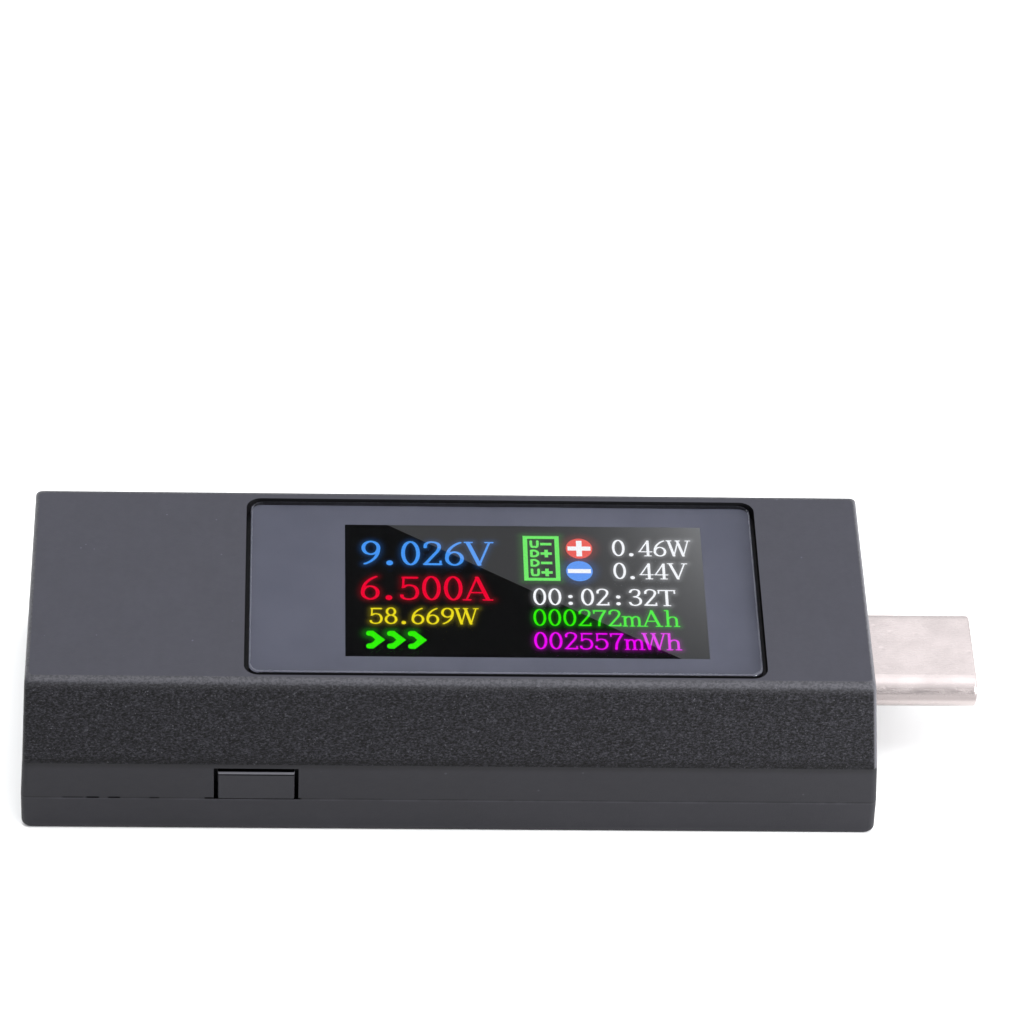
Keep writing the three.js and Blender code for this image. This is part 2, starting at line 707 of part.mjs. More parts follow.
function mainBoard() {
  const { left, right, width } = BOARD;
  const sheet = prism(
    roundedRectangle(right - left, width, 0.5),
    "z",
    [BOARD_BOTTOM, BOARD_TOP],
    [(left + right) / 2, 0, 0],
  );
  const plugHalf = PLUG_SHELL.width / 2 + 0.2;
  const receptacleHalf = RECEPTACLE_SHELL.width / 2 + 0.2;
  return cut(
    sheet,
    box([PLUG_ROOT - 0.4, right + 1], [-plugHalf, plugHalf], [0, CASE_HEIGHT]),
    box([left - 1, RECEPTACLE_BACK + 0.2], [-receptacleHalf, receptacleHalf], [0, CASE_HEIGHT]),
    ...POST_PLACES.map(([x, y]) => cylinder(x, y, PIN_RADIUS + 0.15, [0, CASE_HEIGHT], 12)),
  );
}

// Everything below is drawn standing on z = 0, and placed on a face of the board afterwards.

// A moulded package with gull-wing leads along two or four of its sides.
function leadedChip({ length, width, height, leadsX = 0, leadsY = 0, pitch, leadWidth }) {
  const standOff = 0.12;
  const middle = standOff + height / 2;
  const profile = strip([[-0.3, middle], [0.3, middle], [0.5, 0.07], [0.95, 0.07]], 0.12);
  const lead = (turn, offset, shift) => {
    const geometry = new THREE.ExtrudeGeometry(profile, { depth: leadWidth, bevelEnabled: false });
    geometry.applyMatrix4(new THREE.Matrix4().makeBasis(...ALONG.y));
    geometry.translate(offset, shift + leadWidth / 2, 0);
    geometry.rotateZ(turn);
    return solid(geometry);
  };
  const shifts = (count) => Array.from({ length: count }, (_, i) => (i - (count - 1) / 2) * pitch);
  const body = solid(
    levelledBlock(0.1, [
      { z: standOff, length: length - 0.2, width: width - 0.2 },
      { z: middle, length, width },
      { z: standOff + height, length: length - 0.2, width: width - 0.2 },
    ], 1),
  );
  return join(
    body,
    ...shifts(leadsX).flatMap((s) => [lead(0, length / 2, s), lead(Math.PI, length / 2, s)]),
    ...shifts(leadsY).flatMap((s) => [lead(Math.PI / 2, width / 2, s), lead(-Math.PI / 2, width / 2, s)]),
  );
}

// A ceramic chip part: a body with a metal cap round each end.
function cappedChip({ length, width, height, cap = 0.25 }) {
  const skin = 0.04;
  const halfLength = length / 2 - 0.02;
  const halfWidth = width / 2 - skin;
  const body = box([-halfLength, halfLength], [-halfWidth, halfWidth], [skin, height - skin]);
  const caps = [-1, 1].map((side) => {
    const x = [side * (length / 2 - cap), (side * length) / 2].sort((a, b) => a - b);
    return box(x, [-width / 2, width / 2], [0, height]);
  });
  return join(body, ...caps);
}

// A strip of resistance metal that stands clear of the board between its two feet.
function shuntResistor() {
  const path = [[-3.2, 0.12], [-1.9, 0.12], [-1.5, 0.5], [1.5, 0.5], [1.9, 0.12], [3.2, 0.12]];
  return prism(strip(path, 0.22), "y", [-1.6, 1.6]);
}

function powerInductor() {
  const core = levelledBlock(0.9, [
    { z: 0.15, length: 4, width: 4 },
    { z: 1.65, length: 4, width: 4 },
    { z: 1.8, length: 3.7, width: 3.7 },
  ], 2);
  const feet = [-1, 1].map((side) => {
    const x = [side * 1.0, side * 1.95].sort((a, b) => a - b);
    return box(x, [-1.2, 1.2], [0, 0.3]);
  });
  return join(solid(core), ...feet);
}

function protectionDiode() {
  const body = levelledBlock(0.15, [
    { z: 0.15, length: 4.1, width: 2.4 },
    { z: 1.1, length: 4.3, width: 2.6 },
    { z: 2.1, length: 3.9, width: 2.2 },
  ], 1);
  const clip = strip([[1.3, 0.1], [2.45, 0.1], [2.45, 1.15], [2.0, 1.15]], 0.16);
  const right = prism(clip, "y", [-0.75, 0.75]);
  return join(solid(body), right, right.mirror([1, 0, 0]));
}

function crystal() {
  const can = levelledBlock(0.4, [
    { z: 0.4, length: 2.8, width: 2.1 },
    { z: 0.68, length: 2.8, width: 2.1 },
    { z: 0.75, length: 2.65, width: 1.95 },
  ], 2);
  return join(box([-1.6, 1.6], [-1.25, 1.25], [0, 0.45]), solid(can));
}

// ---- Materials ----

function material(colour, roughness, metalness = 0) {
  return new THREE.MeshStandardMaterial({ color: colour, roughness, metalness });
}

const CASE_PLASTIC = material(0x434347, 0.6);
const BUTTON_PLASTIC = material(0x3f3f43, 0.5);
const WINDOW_CLEAR = material(0x64677a, 0.12);
const PANEL_GLASS = material(0x101014, 0.1);
const TAPE = material(0x111111, 0.9);
const WHITE_PLASTIC = material(0xe8e8e4, 0.5);
const CLEAR_PLASTIC = material(0xf0f4f6, 0.2);
const POLYIMIDE = material(0xb5701c, 0.4);
const FOAM = material(0x1d1d1f, 1.0);
const BOARD_GREEN = material(0x14532d, 0.35);
const NICKEL = material(0xd8d2cc, 0.3, 1);
const STEEL = material(0xb9babb, 0.35, 1);
const GOLD = material(0xd2a64c, 0.25, 1);
const BLACK_PLASTIC = material(0x1a1a1c, 0.55);
const CHIP_BLACK = material(0x17171a, 0.6);
const SILICON = material(0x3a3d46, 0.2, 0.4);
const CERAMIC = material(0xb89b72, 0.6);
const RESISTOR_BLACK = material(0x1c1c20, 0.5);
const FERRITE = material(0x3b3a3a, 0.8);

// ---- The object ----

const meter = new THREE.Group();

function add(name, made, look) {
  const mesh = new THREE.Mesh(geometryOf(made), look);
  mesh.name = name;
  meter.add(mesh);
  return mesh;
}

// Groups whose own floor is the board's upper face, and the board's underside turned over.
const topSide = new THREE.Group();
topSide.position.z = BOARD_TOP + SOLDER_GAP;
const underSide = new THREE.Group();
underSide.position.z = BOARD_BOTTOM - SOLDER_GAP;
underSide.rotation.x = Math.PI;
meter.add(topSide, underSide);

// Puts a part on a side of the board. y counts in the object's own frame on both sides.
function mount(side, name, made, look, x, y, turn = 0) {
  const mesh = add(name, made, look);
  mesh.position.set(x, side === underSide ? -y : y, 0);
  mesh.rotation.z = turn;
  side.add(mesh);
}

add("upper_case", upperCase(), CASE_PLASTIC);
add("lower_case", lowerCase(), CASE_PLASTIC);

add("display_window", displayWindow(), WINDOW_CLEAR);
add("window_tape_left", windowTape([-WINDOW.length / 2 + 0.05, OPENING.left - 0.1]), TAPE);
add("window_tape_right", windowTape([OPENING.right + 0.1, WINDOW.length / 2 - 0.05]), TAPE);
add("lcd_panel", lcdPanel(), PANEL_GLASS);
add("lcd_driver_chip", lcdDriverChip(), SILICON);
add("lcd_ribbon", lcdRibbon(), POLYIMIDE);
add("backlight_frame", backlightFrame(), WHITE_PLASTIC);
add("backlight_light_guide", lightGuide(), CLEAR_PLASTIC);
add("lcd_foam_left", lcdFoam([-10.5, -6.5]), FOAM);
add("lcd_foam_right", lcdFoam([8.5, 12.5]), FOAM);

add("side_button", sideButton(), BUTTON_PLASTIC);
add("switch_housing", switchHousing(), BLACK_PLASTIC);
add("switch_cover", switchCover(), STEEL);
add("switch_plunger", switchPlunger(), BLACK_PLASTIC);
add("switch_dome", switchDome(), STEEL);

add("plug_shell", plugShell(), NICKEL);
add("plug_insulator", plugInsulator(), BLACK_PLASTIC);
add("plug_contacts_upper", contactRow(PLUG_FINGER, PLUG_BAR_X, 1), GOLD);
add("plug_contacts_lower", contactRow(PLUG_FINGER, PLUG_BAR_X, -1), GOLD);
add("plug_latch", plugLatch(), STEEL);

add("receptacle_shell", receptacleShell(), NICKEL);
add("receptacle_tongue", receptacleTongue(), BLACK_PLASTIC);
add("receptacle_contacts_upper", contactRow(TONGUE_FINGER, TONGUE_BAR_X, 1), GOLD);
add("receptacle_contacts_lower", contactRow(TONGUE_FINGER, TONGUE_BAR_X, -1), GOLD);
add("receptacle_middle_plate", receptaclePlate(), STEEL);

add("main_board", mainBoard(), BOARD_GREEN);

const SMALL_CHIP = { length: 3, width: 3, height: 0.85, leadsX: 5, pitch: 0.5, leadWidth: 0.22 };
const MEMORY = { length: 3.9, width: 4.9, height: 1.4, leadsX: 4, pitch: 1.27, leadWidth: 0.4 };
const CONTROLLER = { length: 7, width: 7, height: 1.2, leadsX: 8, leadsY: 8, pitch: 0.8, leadWidth: 0.32 };
const REGULATOR = { length: 1.6, width: 2.9, height: 1.05, leadsX: 3, pitch: 0.95, leadWidth: 0.38 };
mount(topSide, "microcontroller", leadedChip(CONTROLLER), CHIP_BLACK, 1.2, -1.8);
mount(topSide, "crystal", crystal(), STEEL, 1.2, 5.6);
mount(topSide, "memory_chip", leadedChip(MEMORY), CHIP_BLACK, -19.6, 5.6);
mount(topSide, "power_inductor", powerInductor(), FERRITE, -19.4, 0.2);
mount(topSide, "voltage_regulator", leadedChip(REGULATOR), CHIP_BLACK, -19.6, -5.4);
mount(underSide, "current_monitor", leadedChip(SMALL_CHIP), CHIP_BLACK, -4, 0);
mount(underSide, "shunt_resistor", shuntResistor(), STEEL, 3, 0);
mount(underSide, "protection_diode", protectionDiode(), CHIP_BLACK, -18.5, 4.6);

const LARGE_CAPACITOR = { length: 3.2, width: 2.5, height: 1.8, cap: 0.5 };
const SMALL_CAPACITOR = { length: 2.0, width: 1.25, height: 0.95, cap: 0.4 };
const SMALL_RESISTOR = { length: 1.6, width: 0.8, height: 0.45, cap: 0.3 };
mount(underSide, "input_capacitor", cappedChip(LARGE_CAPACITOR), CERAMIC, -18.5, 0.4);
mount(underSide, "output_capacitor", cappedChip(LARGE_CAPACITOR), CERAMIC, 15.5, 4.5);

[
  [topSide, -14, 7.6],
  [topSide, 15.6, 6.0],
  [underSide, -4, 4.4],
  [underSide, 10, -5],
].forEach(([side, x, y], i) =>
  mount(side, `capacitor_${i + 1}`, cappedChip(SMALL_CAPACITOR), CERAMIC, x, y, Math.PI / 2),
);
[
  [topSide, 6.4, 4.6],
  [topSide, 6.4, 6.8],
  [topSide, 15.8, -6.0],
  [underSide, 8, 3.5],
  [underSide, -9, 4.5],
  [underSide, -9, -5.5],
].forEach(([side, x, y], i) =>
  mount(side, `resistor_${i + 1}`, cappedChip(SMALL_RESISTOR), RESISTOR_BLACK, x, y),
);

export default meter;
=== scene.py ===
"""USB power meter: its materials, the lit picture behind the window, light, floor and camera."""

import math

import bmesh
import bpy
import numpy as np
from mathutils import Matrix, Vector
from mathutils.geometry import delaunay_2d_cdt


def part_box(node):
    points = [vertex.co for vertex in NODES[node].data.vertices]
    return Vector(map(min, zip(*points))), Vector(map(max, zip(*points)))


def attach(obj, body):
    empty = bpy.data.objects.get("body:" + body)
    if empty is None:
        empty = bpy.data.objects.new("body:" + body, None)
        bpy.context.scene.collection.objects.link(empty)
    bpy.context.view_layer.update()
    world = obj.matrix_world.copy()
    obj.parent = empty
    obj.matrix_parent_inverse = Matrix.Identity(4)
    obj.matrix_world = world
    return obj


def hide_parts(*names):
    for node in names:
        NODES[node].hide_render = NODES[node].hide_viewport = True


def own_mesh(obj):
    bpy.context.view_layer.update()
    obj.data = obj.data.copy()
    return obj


MM = 0.001  # metres in a millimetre; lengths below are in millimetres unless they say otherwise

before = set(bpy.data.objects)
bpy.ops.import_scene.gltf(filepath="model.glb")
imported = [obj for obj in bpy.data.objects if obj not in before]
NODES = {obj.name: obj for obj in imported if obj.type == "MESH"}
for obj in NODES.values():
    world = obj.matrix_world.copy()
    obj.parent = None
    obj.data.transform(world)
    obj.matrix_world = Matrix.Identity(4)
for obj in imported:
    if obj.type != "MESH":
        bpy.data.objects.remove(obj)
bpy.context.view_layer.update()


def node_box(name):
    """Lowest and highest corner of a CAD node, in millimetres."""
    low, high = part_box(name)
    return low / MM, high / MM


WINDOW_LOW, WINDOW_HIGH = node_box("display_window")
PANEL_TOP = node_box("lcd_panel")[1].z
CASE_LOW, CASE_HIGH = node_box("upper_case")
PLUG_LOW, PLUG_HIGH = node_box("plug_shell")
BUTTON_TOP = node_box("side_button")[1].z
BUTTON_EDGE = 0.22  # how far down the button's rounded upper edge reaches

# ---------------------------------------------------------------- node graphs


class Graph:
    """A material's node tree, built by short calls.

    Coordinates are the piece's own, in millimetres.
    """

    def __init__(self, name):
        self.material = bpy.data.materials.new(name)
        self.material.use_nodes = True
        self.tree = self.material.node_tree
        self.tree.nodes.clear()
        self.output = self.add("ShaderNodeOutputMaterial")
        self.coords = None

    def add(self, kind, inputs=None, **settings):
        node = self.tree.nodes.new(kind)
        for key, value in settings.items():
            setattr(node, key, value)
        for key, value in (inputs or {}).items():
            self.plug(node.inputs[key], value)
        return node

    def plug(self, socket, value):
        if isinstance(value, bpy.types.NodeSocket):
            self.tree.links.new(value, socket)
        else:
            socket.default_value = value

    def point(self):
        if self.coords is None:
            own = self.add("ShaderNodeTexCoord").outputs["Object"]
            self.coords = self.add(
                "ShaderNodeVectorMath", {0: own, "Scale": 1 / MM}, operation="SCALE"
            ).outputs[0]
        return self.coords

    def axis(self, letter):
        split = self.add("ShaderNodeSeparateXYZ", {0: self.point()})
        return split.outputs[letter.upper()]

    def facing(self, letter):
        """One part of the way the surface faces, in the piece's own frame."""
        normal = self.add("ShaderNodeTexCoord").outputs["Normal"]
        return self.add("ShaderNodeSeparateXYZ", {0: normal}).outputs[letter.upper()]

    def stretched(self, x, y, z):
        return self.add(
            "ShaderNodeVectorMath", {0: self.point(), 1: (x, y, z)}, operation="MULTIPLY"
        ).outputs[0]

    def math(self, operation, a, b=0.0):
        return self.add("ShaderNodeMath", {0: a, 1: b}, operation=operation).outputs[0]

    def both(self, a, b):
        """The product of two shares: high only where both are."""
        return self.math("MULTIPLY", a, b)

    def noise(self, scale, detail=2.0, roughness=0.5, vector=None, distortion=0.0):
        return self.add(
            "ShaderNodeTexNoise",
            {
                "Vector": vector or self.point(),
                "Scale": scale,
                "Detail": detail,
                "Roughness": roughness,
                "Distortion": distortion,
            },
        ).outputs["Fac"]

    def cells(self, scale, feature="F1", vector=None):
        return self.add(
            "ShaderNodeTexVoronoi",
            {"Vector": vector or self.point(), "Scale": scale},
            feature=feature,
        ).outputs["Distance"]

    def band(self, value, low, high, start=0.0, end=1.0, smooth=True):
        """value mapped from low..high to start..end, held at both ends."""
        return self.add(
            "ShaderNodeMapRange",
            {
                "Value": value,
                "From Min": low,
                "From Max": high,
                "To Min": start,
                "To Max": end,
            },
            clamp=True,
            interpolation_type="SMOOTHSTEP" if smooth else "LINEAR",
        ).outputs["Result"]

    def mix(self, factor, a, b, how="MIX"):
        node = self.add("ShaderNodeMix", data_type="RGBA", blend_type=how)
        self.plug(node.inputs[0], factor)
        self.plug(node.inputs[6], a)
        self.plug(node.inputs[7], b)
        return node.outputs[2]

    def blend(self, factor, a, b):
        """A plain number between a and b."""
        return self.add("ShaderNodeMix", {0: factor, 2: a, 3: b}).outputs[0]

    def bump(self, height, distance, strength=1.0):
        inputs = {"Height": height, "Distance": distance * MM, "Strength": strength}
        return self.add("ShaderNodeBump", inputs).outputs["Normal"]

    def principled(self, **inputs):
        named = {key.replace("_", " "): value for key, value in inputs.items()}
        shader = self.add("ShaderNodeBsdfPrincipled", named)
        self.tree.links.new(shader.outputs[0], self.output.inputs["Surface"])


def linear(r, g, b):
    """A screen colour, 0 to 255 a channel, as linear RGBA."""

    def one(c):
        c /= 255
        return c / 12.92 if c <= 0.04045 else ((c + 0.055) / 1.055) ** 2.4

    return (one(r), one(g), one(b), 1.0)


def scaled(colour, factor):
    """The colour, brighter or darker."""
    return tuple(c * factor for c in colour[:3]) + (1.0,)


# ------------------------------------------------------------------ materials

BLACK = (0.0, 0.0, 0.0, 1.0)
PURE_WHITE = (1.0, 1.0, 1.0, 1.0)
# The casing's greys, matched to the photograph under this scene's light.
# TOP_GREY is lighter than the walls' greys, partly for the top's finer finish and partly as
# painted light on the face that the overhead light falls on.
TOP_GREY = (0.0232, 0.0228, 0.033, 1.0)
WALL_GREY = (0.009, 0.0088, 0.0112, 1.0)
# This grey is painted highlight: the walls' upper edge, grain crests, glints and plug-end corner,
# and the button's upper edge.
HIGHLIGHT_GREY = (0.042, 0.0415, 0.047, 1.0)
BAND_GREY = (0.0144, 0.014, 0.0176, 1.0)
NICKEL = (0.63, 0.555, 0.545, 1.0)
TIN = (0.66, 0.66, 0.64, 1.0)
FOLD_Z = 5.7  # above it the casing's walls lean in
EDGE_Z = 11.45  # where the long walls start to round over
SEAM_Z = round(CASE_LOW.z, 3)  # where the two shells meet


def case_top():
    """The top face: satin, with a fine even grain, faint clouding and rare pale specks."""
    g = Graph("case_top")
    cloud = g.noise(0.35, 3.0, 0.6)
    streak = g.noise(1.6, 3.0, 0.55, g.stretched(1.0, 0.25, 1.0))
    grain = g.noise(9.0, 2.0, 0.6)
    tone = g.math("ADD", g.math("MULTIPLY", cloud, 0.55), g.math("MULTIPLY", streak, 0.45))
    colour = g.mix(
        g.band(tone, 0.3, 0.7, smooth=False),
        scaled(TOP_GREY, 0.93),
        scaled(TOP_GREY, 1.08),
    )
    colour = g.mix(specks(g, 1.1, 0.05), colour, scaled(TOP_GREY, 3.0))
    rough = g.band(g.noise(2.2, 4.0, 0.6), 0.25, 0.75, 0.47, 0.53)
    normal = g.bump(grain, 0.012, 0.6)
    g.principled(
        Base_Color=colour, Roughness=rough, Normal=normal, Specular_IOR_Level=0.42
    )
    return g.material


def specks(g, scale, size):
    """Small round dots, at a few of the cells only."""
    near = g.band(g.cells(scale), size, size * 1.5, 1.0, 0.0)
    chosen = g.band(g.noise(scale * 0.7, 0.0, 0.5), 0.6, 0.62)
    return g.math("MULTIPLY", near, chosen)


def case_texture():
    """The leaning walls: spark-eroded grain in short level wrinkles, painted with highlights on
    its ridges and crests, shade in its hollows, and glints.

    The rounded upper edge and the ends are smoother. The upper edge and the upright corner at the
    plug end carry a painted highlight, and painted shade darkens the grain just above the fold.
    """
    g = Graph("case_texture")
    wrinkle = g.noise(6.4, 2.0, 0.55, g.stretched(0.8, 1.0, 1.3), distortion=0.5)
    fine = g.noise(11.5, 2.0, 0.7, g.stretched(0.78, 1.0, 1.3))
    height = g.math("ADD", g.math("MULTIPLY", wrinkle, 0.62), g.math("MULTIPLY", fine, 0.38))
    ridge = g.band(height, 0.41, 0.6)
    crest = g.band(height, 0.55, 0.66)
    z = g.axis("z")
    edge = g.band(z, EDGE_Z - 0.25, EDGE_Z + 0.35)
    fold = g.band(z, FOLD_Z + 0.75, FOLD_Z + 0.1)
    upward = g.facing("z")
    # Painted highlight on the rounded upper edge, strongest where it faces partly up; hollow is
    # its colour in the grain's hollows, darker as painted shade.
    upward_highlight = g.both(g.band(upward, 0.25, 0.8), g.band(upward, 1.0, 0.9, 0.7, 1.0))
    edge_ridge_highlight = g.mix(upward_highlight, scaled(HIGHLIGHT_GREY, 0.85), scaled(HIGHLIGHT_GREY, 1.9))
    hollow = g.mix(upward_highlight, scaled(HIGHLIGHT_GREY, 0.4), scaled(HIGHLIGHT_GREY, 1.1))
    # On the grain, pale is painted highlight on the ridges and deep is painted shade in the
    # hollows; near the upper edge both take the edge's painted highlight.
    pale = g.mix(edge, scaled(WALL_GREY, 2.0), edge_ridge_highlight)
    deep = g.mix(edge, scaled(WALL_GREY, 0.15), hollow)
    colour = g.mix(ridge, deep, pale)
    # Painted highlight on the grain's crests, and painted glints at scattered points.
    colour = g.mix(g.math("MULTIPLY", crest, 0.5), colour, scaled(HIGHLIGHT_GREY, 1.3))
    glint = g.band(g.noise(6.5, 1.0, 0.5), 0.72, 0.76)
    colour = g.mix(g.math("MULTIPLY", glint, 0.5), colour, scaled(HIGHLIGHT_GREY, 2.8))
    # Painted shade on the grain just above the fold.
    colour = g.mix(g.math("MULTIPLY", fold, 0.55), colour, scaled(WALL_GREY, 0.2))
    # A painted highlight on the upright corner at the plug end, the side the light comes from.
    along = g.facing("x")
    corner = g.both(g.band(along, 0.3, 0.7), g.band(along, 0.995, 0.97))
    colour = g.mix(g.math("MULTIPLY", corner, 0.85), colour, scaled(HIGHLIGHT_GREY, 2.4))
    end = g.band(g.math("ABSOLUTE", along), 0.3, 0.7)
    worn = g.math("MAXIMUM", end, edge)
    rough = g.blend(worn, g.band(fine, 0.3, 0.7, 0.42, 0.6), 0.36)
    depth = g.band(worn, 0.0, 1.0, 1.0, 0.35, smooth=False)
    g.principled(
        Base_Color=colour,
        Roughness=rough,
        Normal=g.bump(height, 0.12, depth),
        Specular_IOR_Level=0.14,
    )
    return g.material


# Where the parting line gapes along the button's wall: X, and how far open it is.
SEAM_GAPES = [
    (-29.4, 0.0), (-29.2, 0.45), (-28.0, 0.4), (-27.8, 0.0),
    (-27.6, 1.0), (-26.9, 1.0), (-26.8, 0.0), (-26.3, 0.0),
    (-26.2, 0.9), (-25.5, 1.0), (-25.4, 0.0), (-23.6, 0.0),
    (-23.4, 0.7), (-22.9, 0.6), (-22.8, 0.0), (-19.9, 0.0),
    (-19.8, 1.0), (-19.0, 1.0), (-13.5, 1.0), (-13.4, 0.0),
]


def seam_gapes(g):
    """How far the parting line gapes at a place along the button's wall."""
    start, end = SEAM_GAPES[0][0] - 1.0, SEAM_GAPES[-1][0] + 1.0
    along = g.band(g.axis("x"), start, end, smooth=False)
    ramp = g.add("ShaderNodeValToRGB", {"Fac": along})
    stops = ramp.color_ramp.elements
    stops[0].position, stops[0].color = 0.0, BLACK
    stops[1].position, stops[1].color = 1.0, BLACK
    for x, share in SEAM_GAPES:
        stops.new((x - start) / (end - start)).color = (share, share, share, 1.0)
    front = g.band(g.axis("y"), -10.0, -10.5)
    return g.both(ramp.outputs["Color"], front)


def case_band(name, shade=1.0, specular=0.2, rim_z=None):
    """Smooth moulded satin, for the lower walls and the underside, with a parting line painted
    with a thin shade line above it and a highlight line below it.

    rim_z is for the button: the line below which its upper edge carries a painted highlight with
    a painted shade line under it; its flat top above is painted dark as shade.
    The gapes of the parting line and the button's shade marks are painted shade, black metal that
    gives back no light.
    """
    g = Graph(name)
    cloud = g.noise(0.22, 3.0, 0.55)
    mottle = g.noise(3.0, 3.0, 0.6, g.stretched(0.5, 1.0, 1.0))
    tone = g.math("ADD", g.math("MULTIPLY", cloud, 0.6), g.math("MULTIPLY", mottle, 0.4))
    # shade sets how light the grey is: on the lower shell and the button the same plastic is
    # painted lighter, as painted light against the lesser light that reaches them.
    colour = g.mix(
        g.band(tone, 0.3, 0.7, smooth=False),
        scaled(BAND_GREY, 0.92 * shade),
        scaled(BAND_GREY, 1.1 * shade),
    )
    colour = g.mix(g.math("MULTIPLY", specks(g, 0.9, 0.06), 0.6), colour, scaled(BAND_GREY, 2.6))
    z = g.axis("z")
    # Painted shade on the band just below the fold.
    fold = g.band(z, FOLD_Z - 0.55, FOLD_Z - 0.05)
    colour = g.mix(g.math("MULTIPLY", fold, 0.6), colour, scaled(BAND_GREY, 0.3))
    rise = g.math("SUBTRACT", z, SEAM_Z)
    seam_breaks = g.noise(0.5, 3.0, 0.6, g.stretched(1.0, 1.0, 0.0))
    # Along the parting line: a thin painted shade line in the groove above it and a painted
    # highlight on the lip below it, broken up along the length.
    groove = g.both(g.band(rise, -0.01, 0.02), g.band(rise, 0.13, 0.07))
    lip = g.both(g.band(rise, -0.15, -0.1), g.band(rise, 0.0, -0.03))
    dark = g.both(groove, g.band(seam_breaks, 0.38, 0.6, 0.75, 0.25))
    pale = g.both(lip, g.band(seam_breaks, 0.35, 0.6, 0.25, 0.9))
    colour = g.mix(dark, colour, scaled(BAND_GREY, 0.3))
    colour = g.mix(pale, colour, scaled(BAND_GREY, 1.75))
    if rim_z is None:
        # Where the parting line gapes: painted shade, near black and metallic, so it gives back
        # no light.
        black_shade = g.both(g.band(rise, -0.04, 0.0), g.band(rise, 0.13, 0.09))
        black_shade = g.both(black_shade, seam_gapes(g))
        colour = g.mix(black_shade, colour, scaled(BAND_GREY, 0.05))
    else:
        drop = g.math("SUBTRACT", rim_z, z)
        # On the button: a painted highlight on the upper edge, a painted shade line under it, and
        # painted shade on the flat top in the notch.
        rim_highlight = g.both(g.band(drop, 0.015, 0.035), g.band(drop, 0.16, 0.12))
        under = g.both(g.band(drop, 0.16, 0.19), g.band(drop, 0.25, 0.22))
        hidden = g.band(drop, 0.035, 0.015)
        colour = g.mix(rim_highlight, colour, scaled(HIGHLIGHT_GREY, 2.6))
        colour = g.mix(g.math("MULTIPLY", under, 0.9), colour, scaled(BAND_GREY, 0.05))
        colour = g.mix(hidden, colour, scaled(BAND_GREY, 0.1))
        black_shade = g.math("MAXIMUM", under, hidden)
    g.principled(
        Base_Color=colour,
        Roughness=g.band(mottle, 0.3, 0.7, 0.46, 0.56),
        Metallic=black_shade,
        Normal=g.bump(g.noise(8.0, 2.0, 0.6), 0.012, 0.5),
        Specular_IOR_Level=specular,
    )
    return g.material


def recess_wall():
    """The walls and floor of the window's recess, painted darker as shade, out of the light."""
    g = Graph("case_recess")
    grain = g.noise(6.0, 2.0, 0.6)
    g.principled(
        # Painted shade: a darker copy of the band's grey.
        Base_Color=g.mix(grain, scaled(BAND_GREY, 0.3), scaled(BAND_GREY, 0.5)),
        Roughness=g.band(grain, 0.3, 0.7, 0.5, 0.62),
        Normal=g.bump(grain, 0.01, 0.5),
        Specular_IOR_Level=0.2,
    )
    return g.material


def window_glass():
    """Clear acrylic plate."""
    g = Graph("window_clear")
    glass = g.add(
        "ShaderNodeBsdfGlass",
        {"Color": (0.97, 0.98, 1.0, 1.0), "Roughness": 0.0, "IOR": 1.49},
    )
    g.tree.links.new(glass.outputs[0], g.output.inputs["Surface"])
    return g.material


def window_rim():
    """The plate's sawn side faces, near black as painted shade for the gap round it."""
    g = Graph("window_rim")
    saw = g.noise(5.0, 3.0, 0.6, g.stretched(1.0, 1.0, 0.2))
    g.principled(
        # Painted shade: near black.
        Base_Color=(0.012, 0.012, 0.014, 1.0),
        Roughness=g.band(saw, 0.3, 0.7, 0.3, 0.45),
        Normal=g.bump(saw, 0.01, 0.6),
        Specular_IOR_Level=0.3,
    )
    return g.material


def window_ink():
    """Blue-grey screen print under the plate."""
    g = Graph("window_ink")
    tone = g.noise(0.3, 3.0, 0.5)
    colour = g.mix(
        g.band(tone, 0.3, 0.7),
        linear(76, 77, 88),
        linear(80, 81, 92),
    )
    g.principled(
        Base_Color=colour,
        Roughness=0.5,
        Normal=g.bump(g.noise(14.0, 2.0, 0.5), 0.004, 0.4),
        Specular_IOR_Level=0.2,
    )
    return g.material


def nickel():
    """Satin nickel plate, drawn along the plug, with light scratches and small dents.

    Painted shade darkens it along the rounded sides and more on the underside.
    """
    g = Graph("nickel")
    middle = (PLUG_LOW.z + PLUG_HIGH.z) / 2
    z = g.axis("z")
    drawn = g.noise(3.0, 4.0, 0.65, g.stretched(0.35, 2.4, 2.4))
    cloud = g.noise(0.5, 3.0, 0.5)
    colour = g.mix(
        g.band(cloud, 0.3, 0.7),
        scaled(NICKEL, 0.94),
        scaled(NICKEL, 1.07),
    )
    # Painted shade: darker along the rounded sides, darkest on the underside.
    side = g.band(z, middle + 0.55, middle + 0.36)
    lowest = g.band(z, middle + 0.1, middle - 0.25)
    shaded_nickel = g.mix(lowest, scaled(NICKEL, 0.45), scaled(NICKEL, 0.75))
    colour = g.mix(side, colour, shaded_nickel)
    dent = g.band(g.noise(1.15, 1.0, 0.4), 0.7, 0.8)
    height = g.math("SUBTRACT", g.math("MULTIPLY", drawn, 0.25), dent)
    g.principled(
        Base_Color=colour,
        Metallic=1.0,
        Roughness=g.band(drawn, 0.3, 0.7, 0.21, 0.29),
        Normal=g.bump(height, 0.012, 0.8),
    )
    return g.material


def metal(name, colour, roughness, scale=2.0):
    """Plated or bare sheet metal with a rolled grain."""
    g = Graph(name)
    grain = g.noise(scale, 4.0, 0.6, g.stretched(0.4, 1.6, 1.6))
    g.principled(
        Base_Color=g.mix(g.band(grain, 0.3, 0.7), scaled(colour, 0.88), scaled(colour, 1.06)),
        Metallic=1.0,
        Roughness=g.band(grain, 0.3, 0.7, roughness - 0.05, roughness + 0.07),
        Normal=g.bump(grain, 0.006, 0.5),
    )
    return g.material


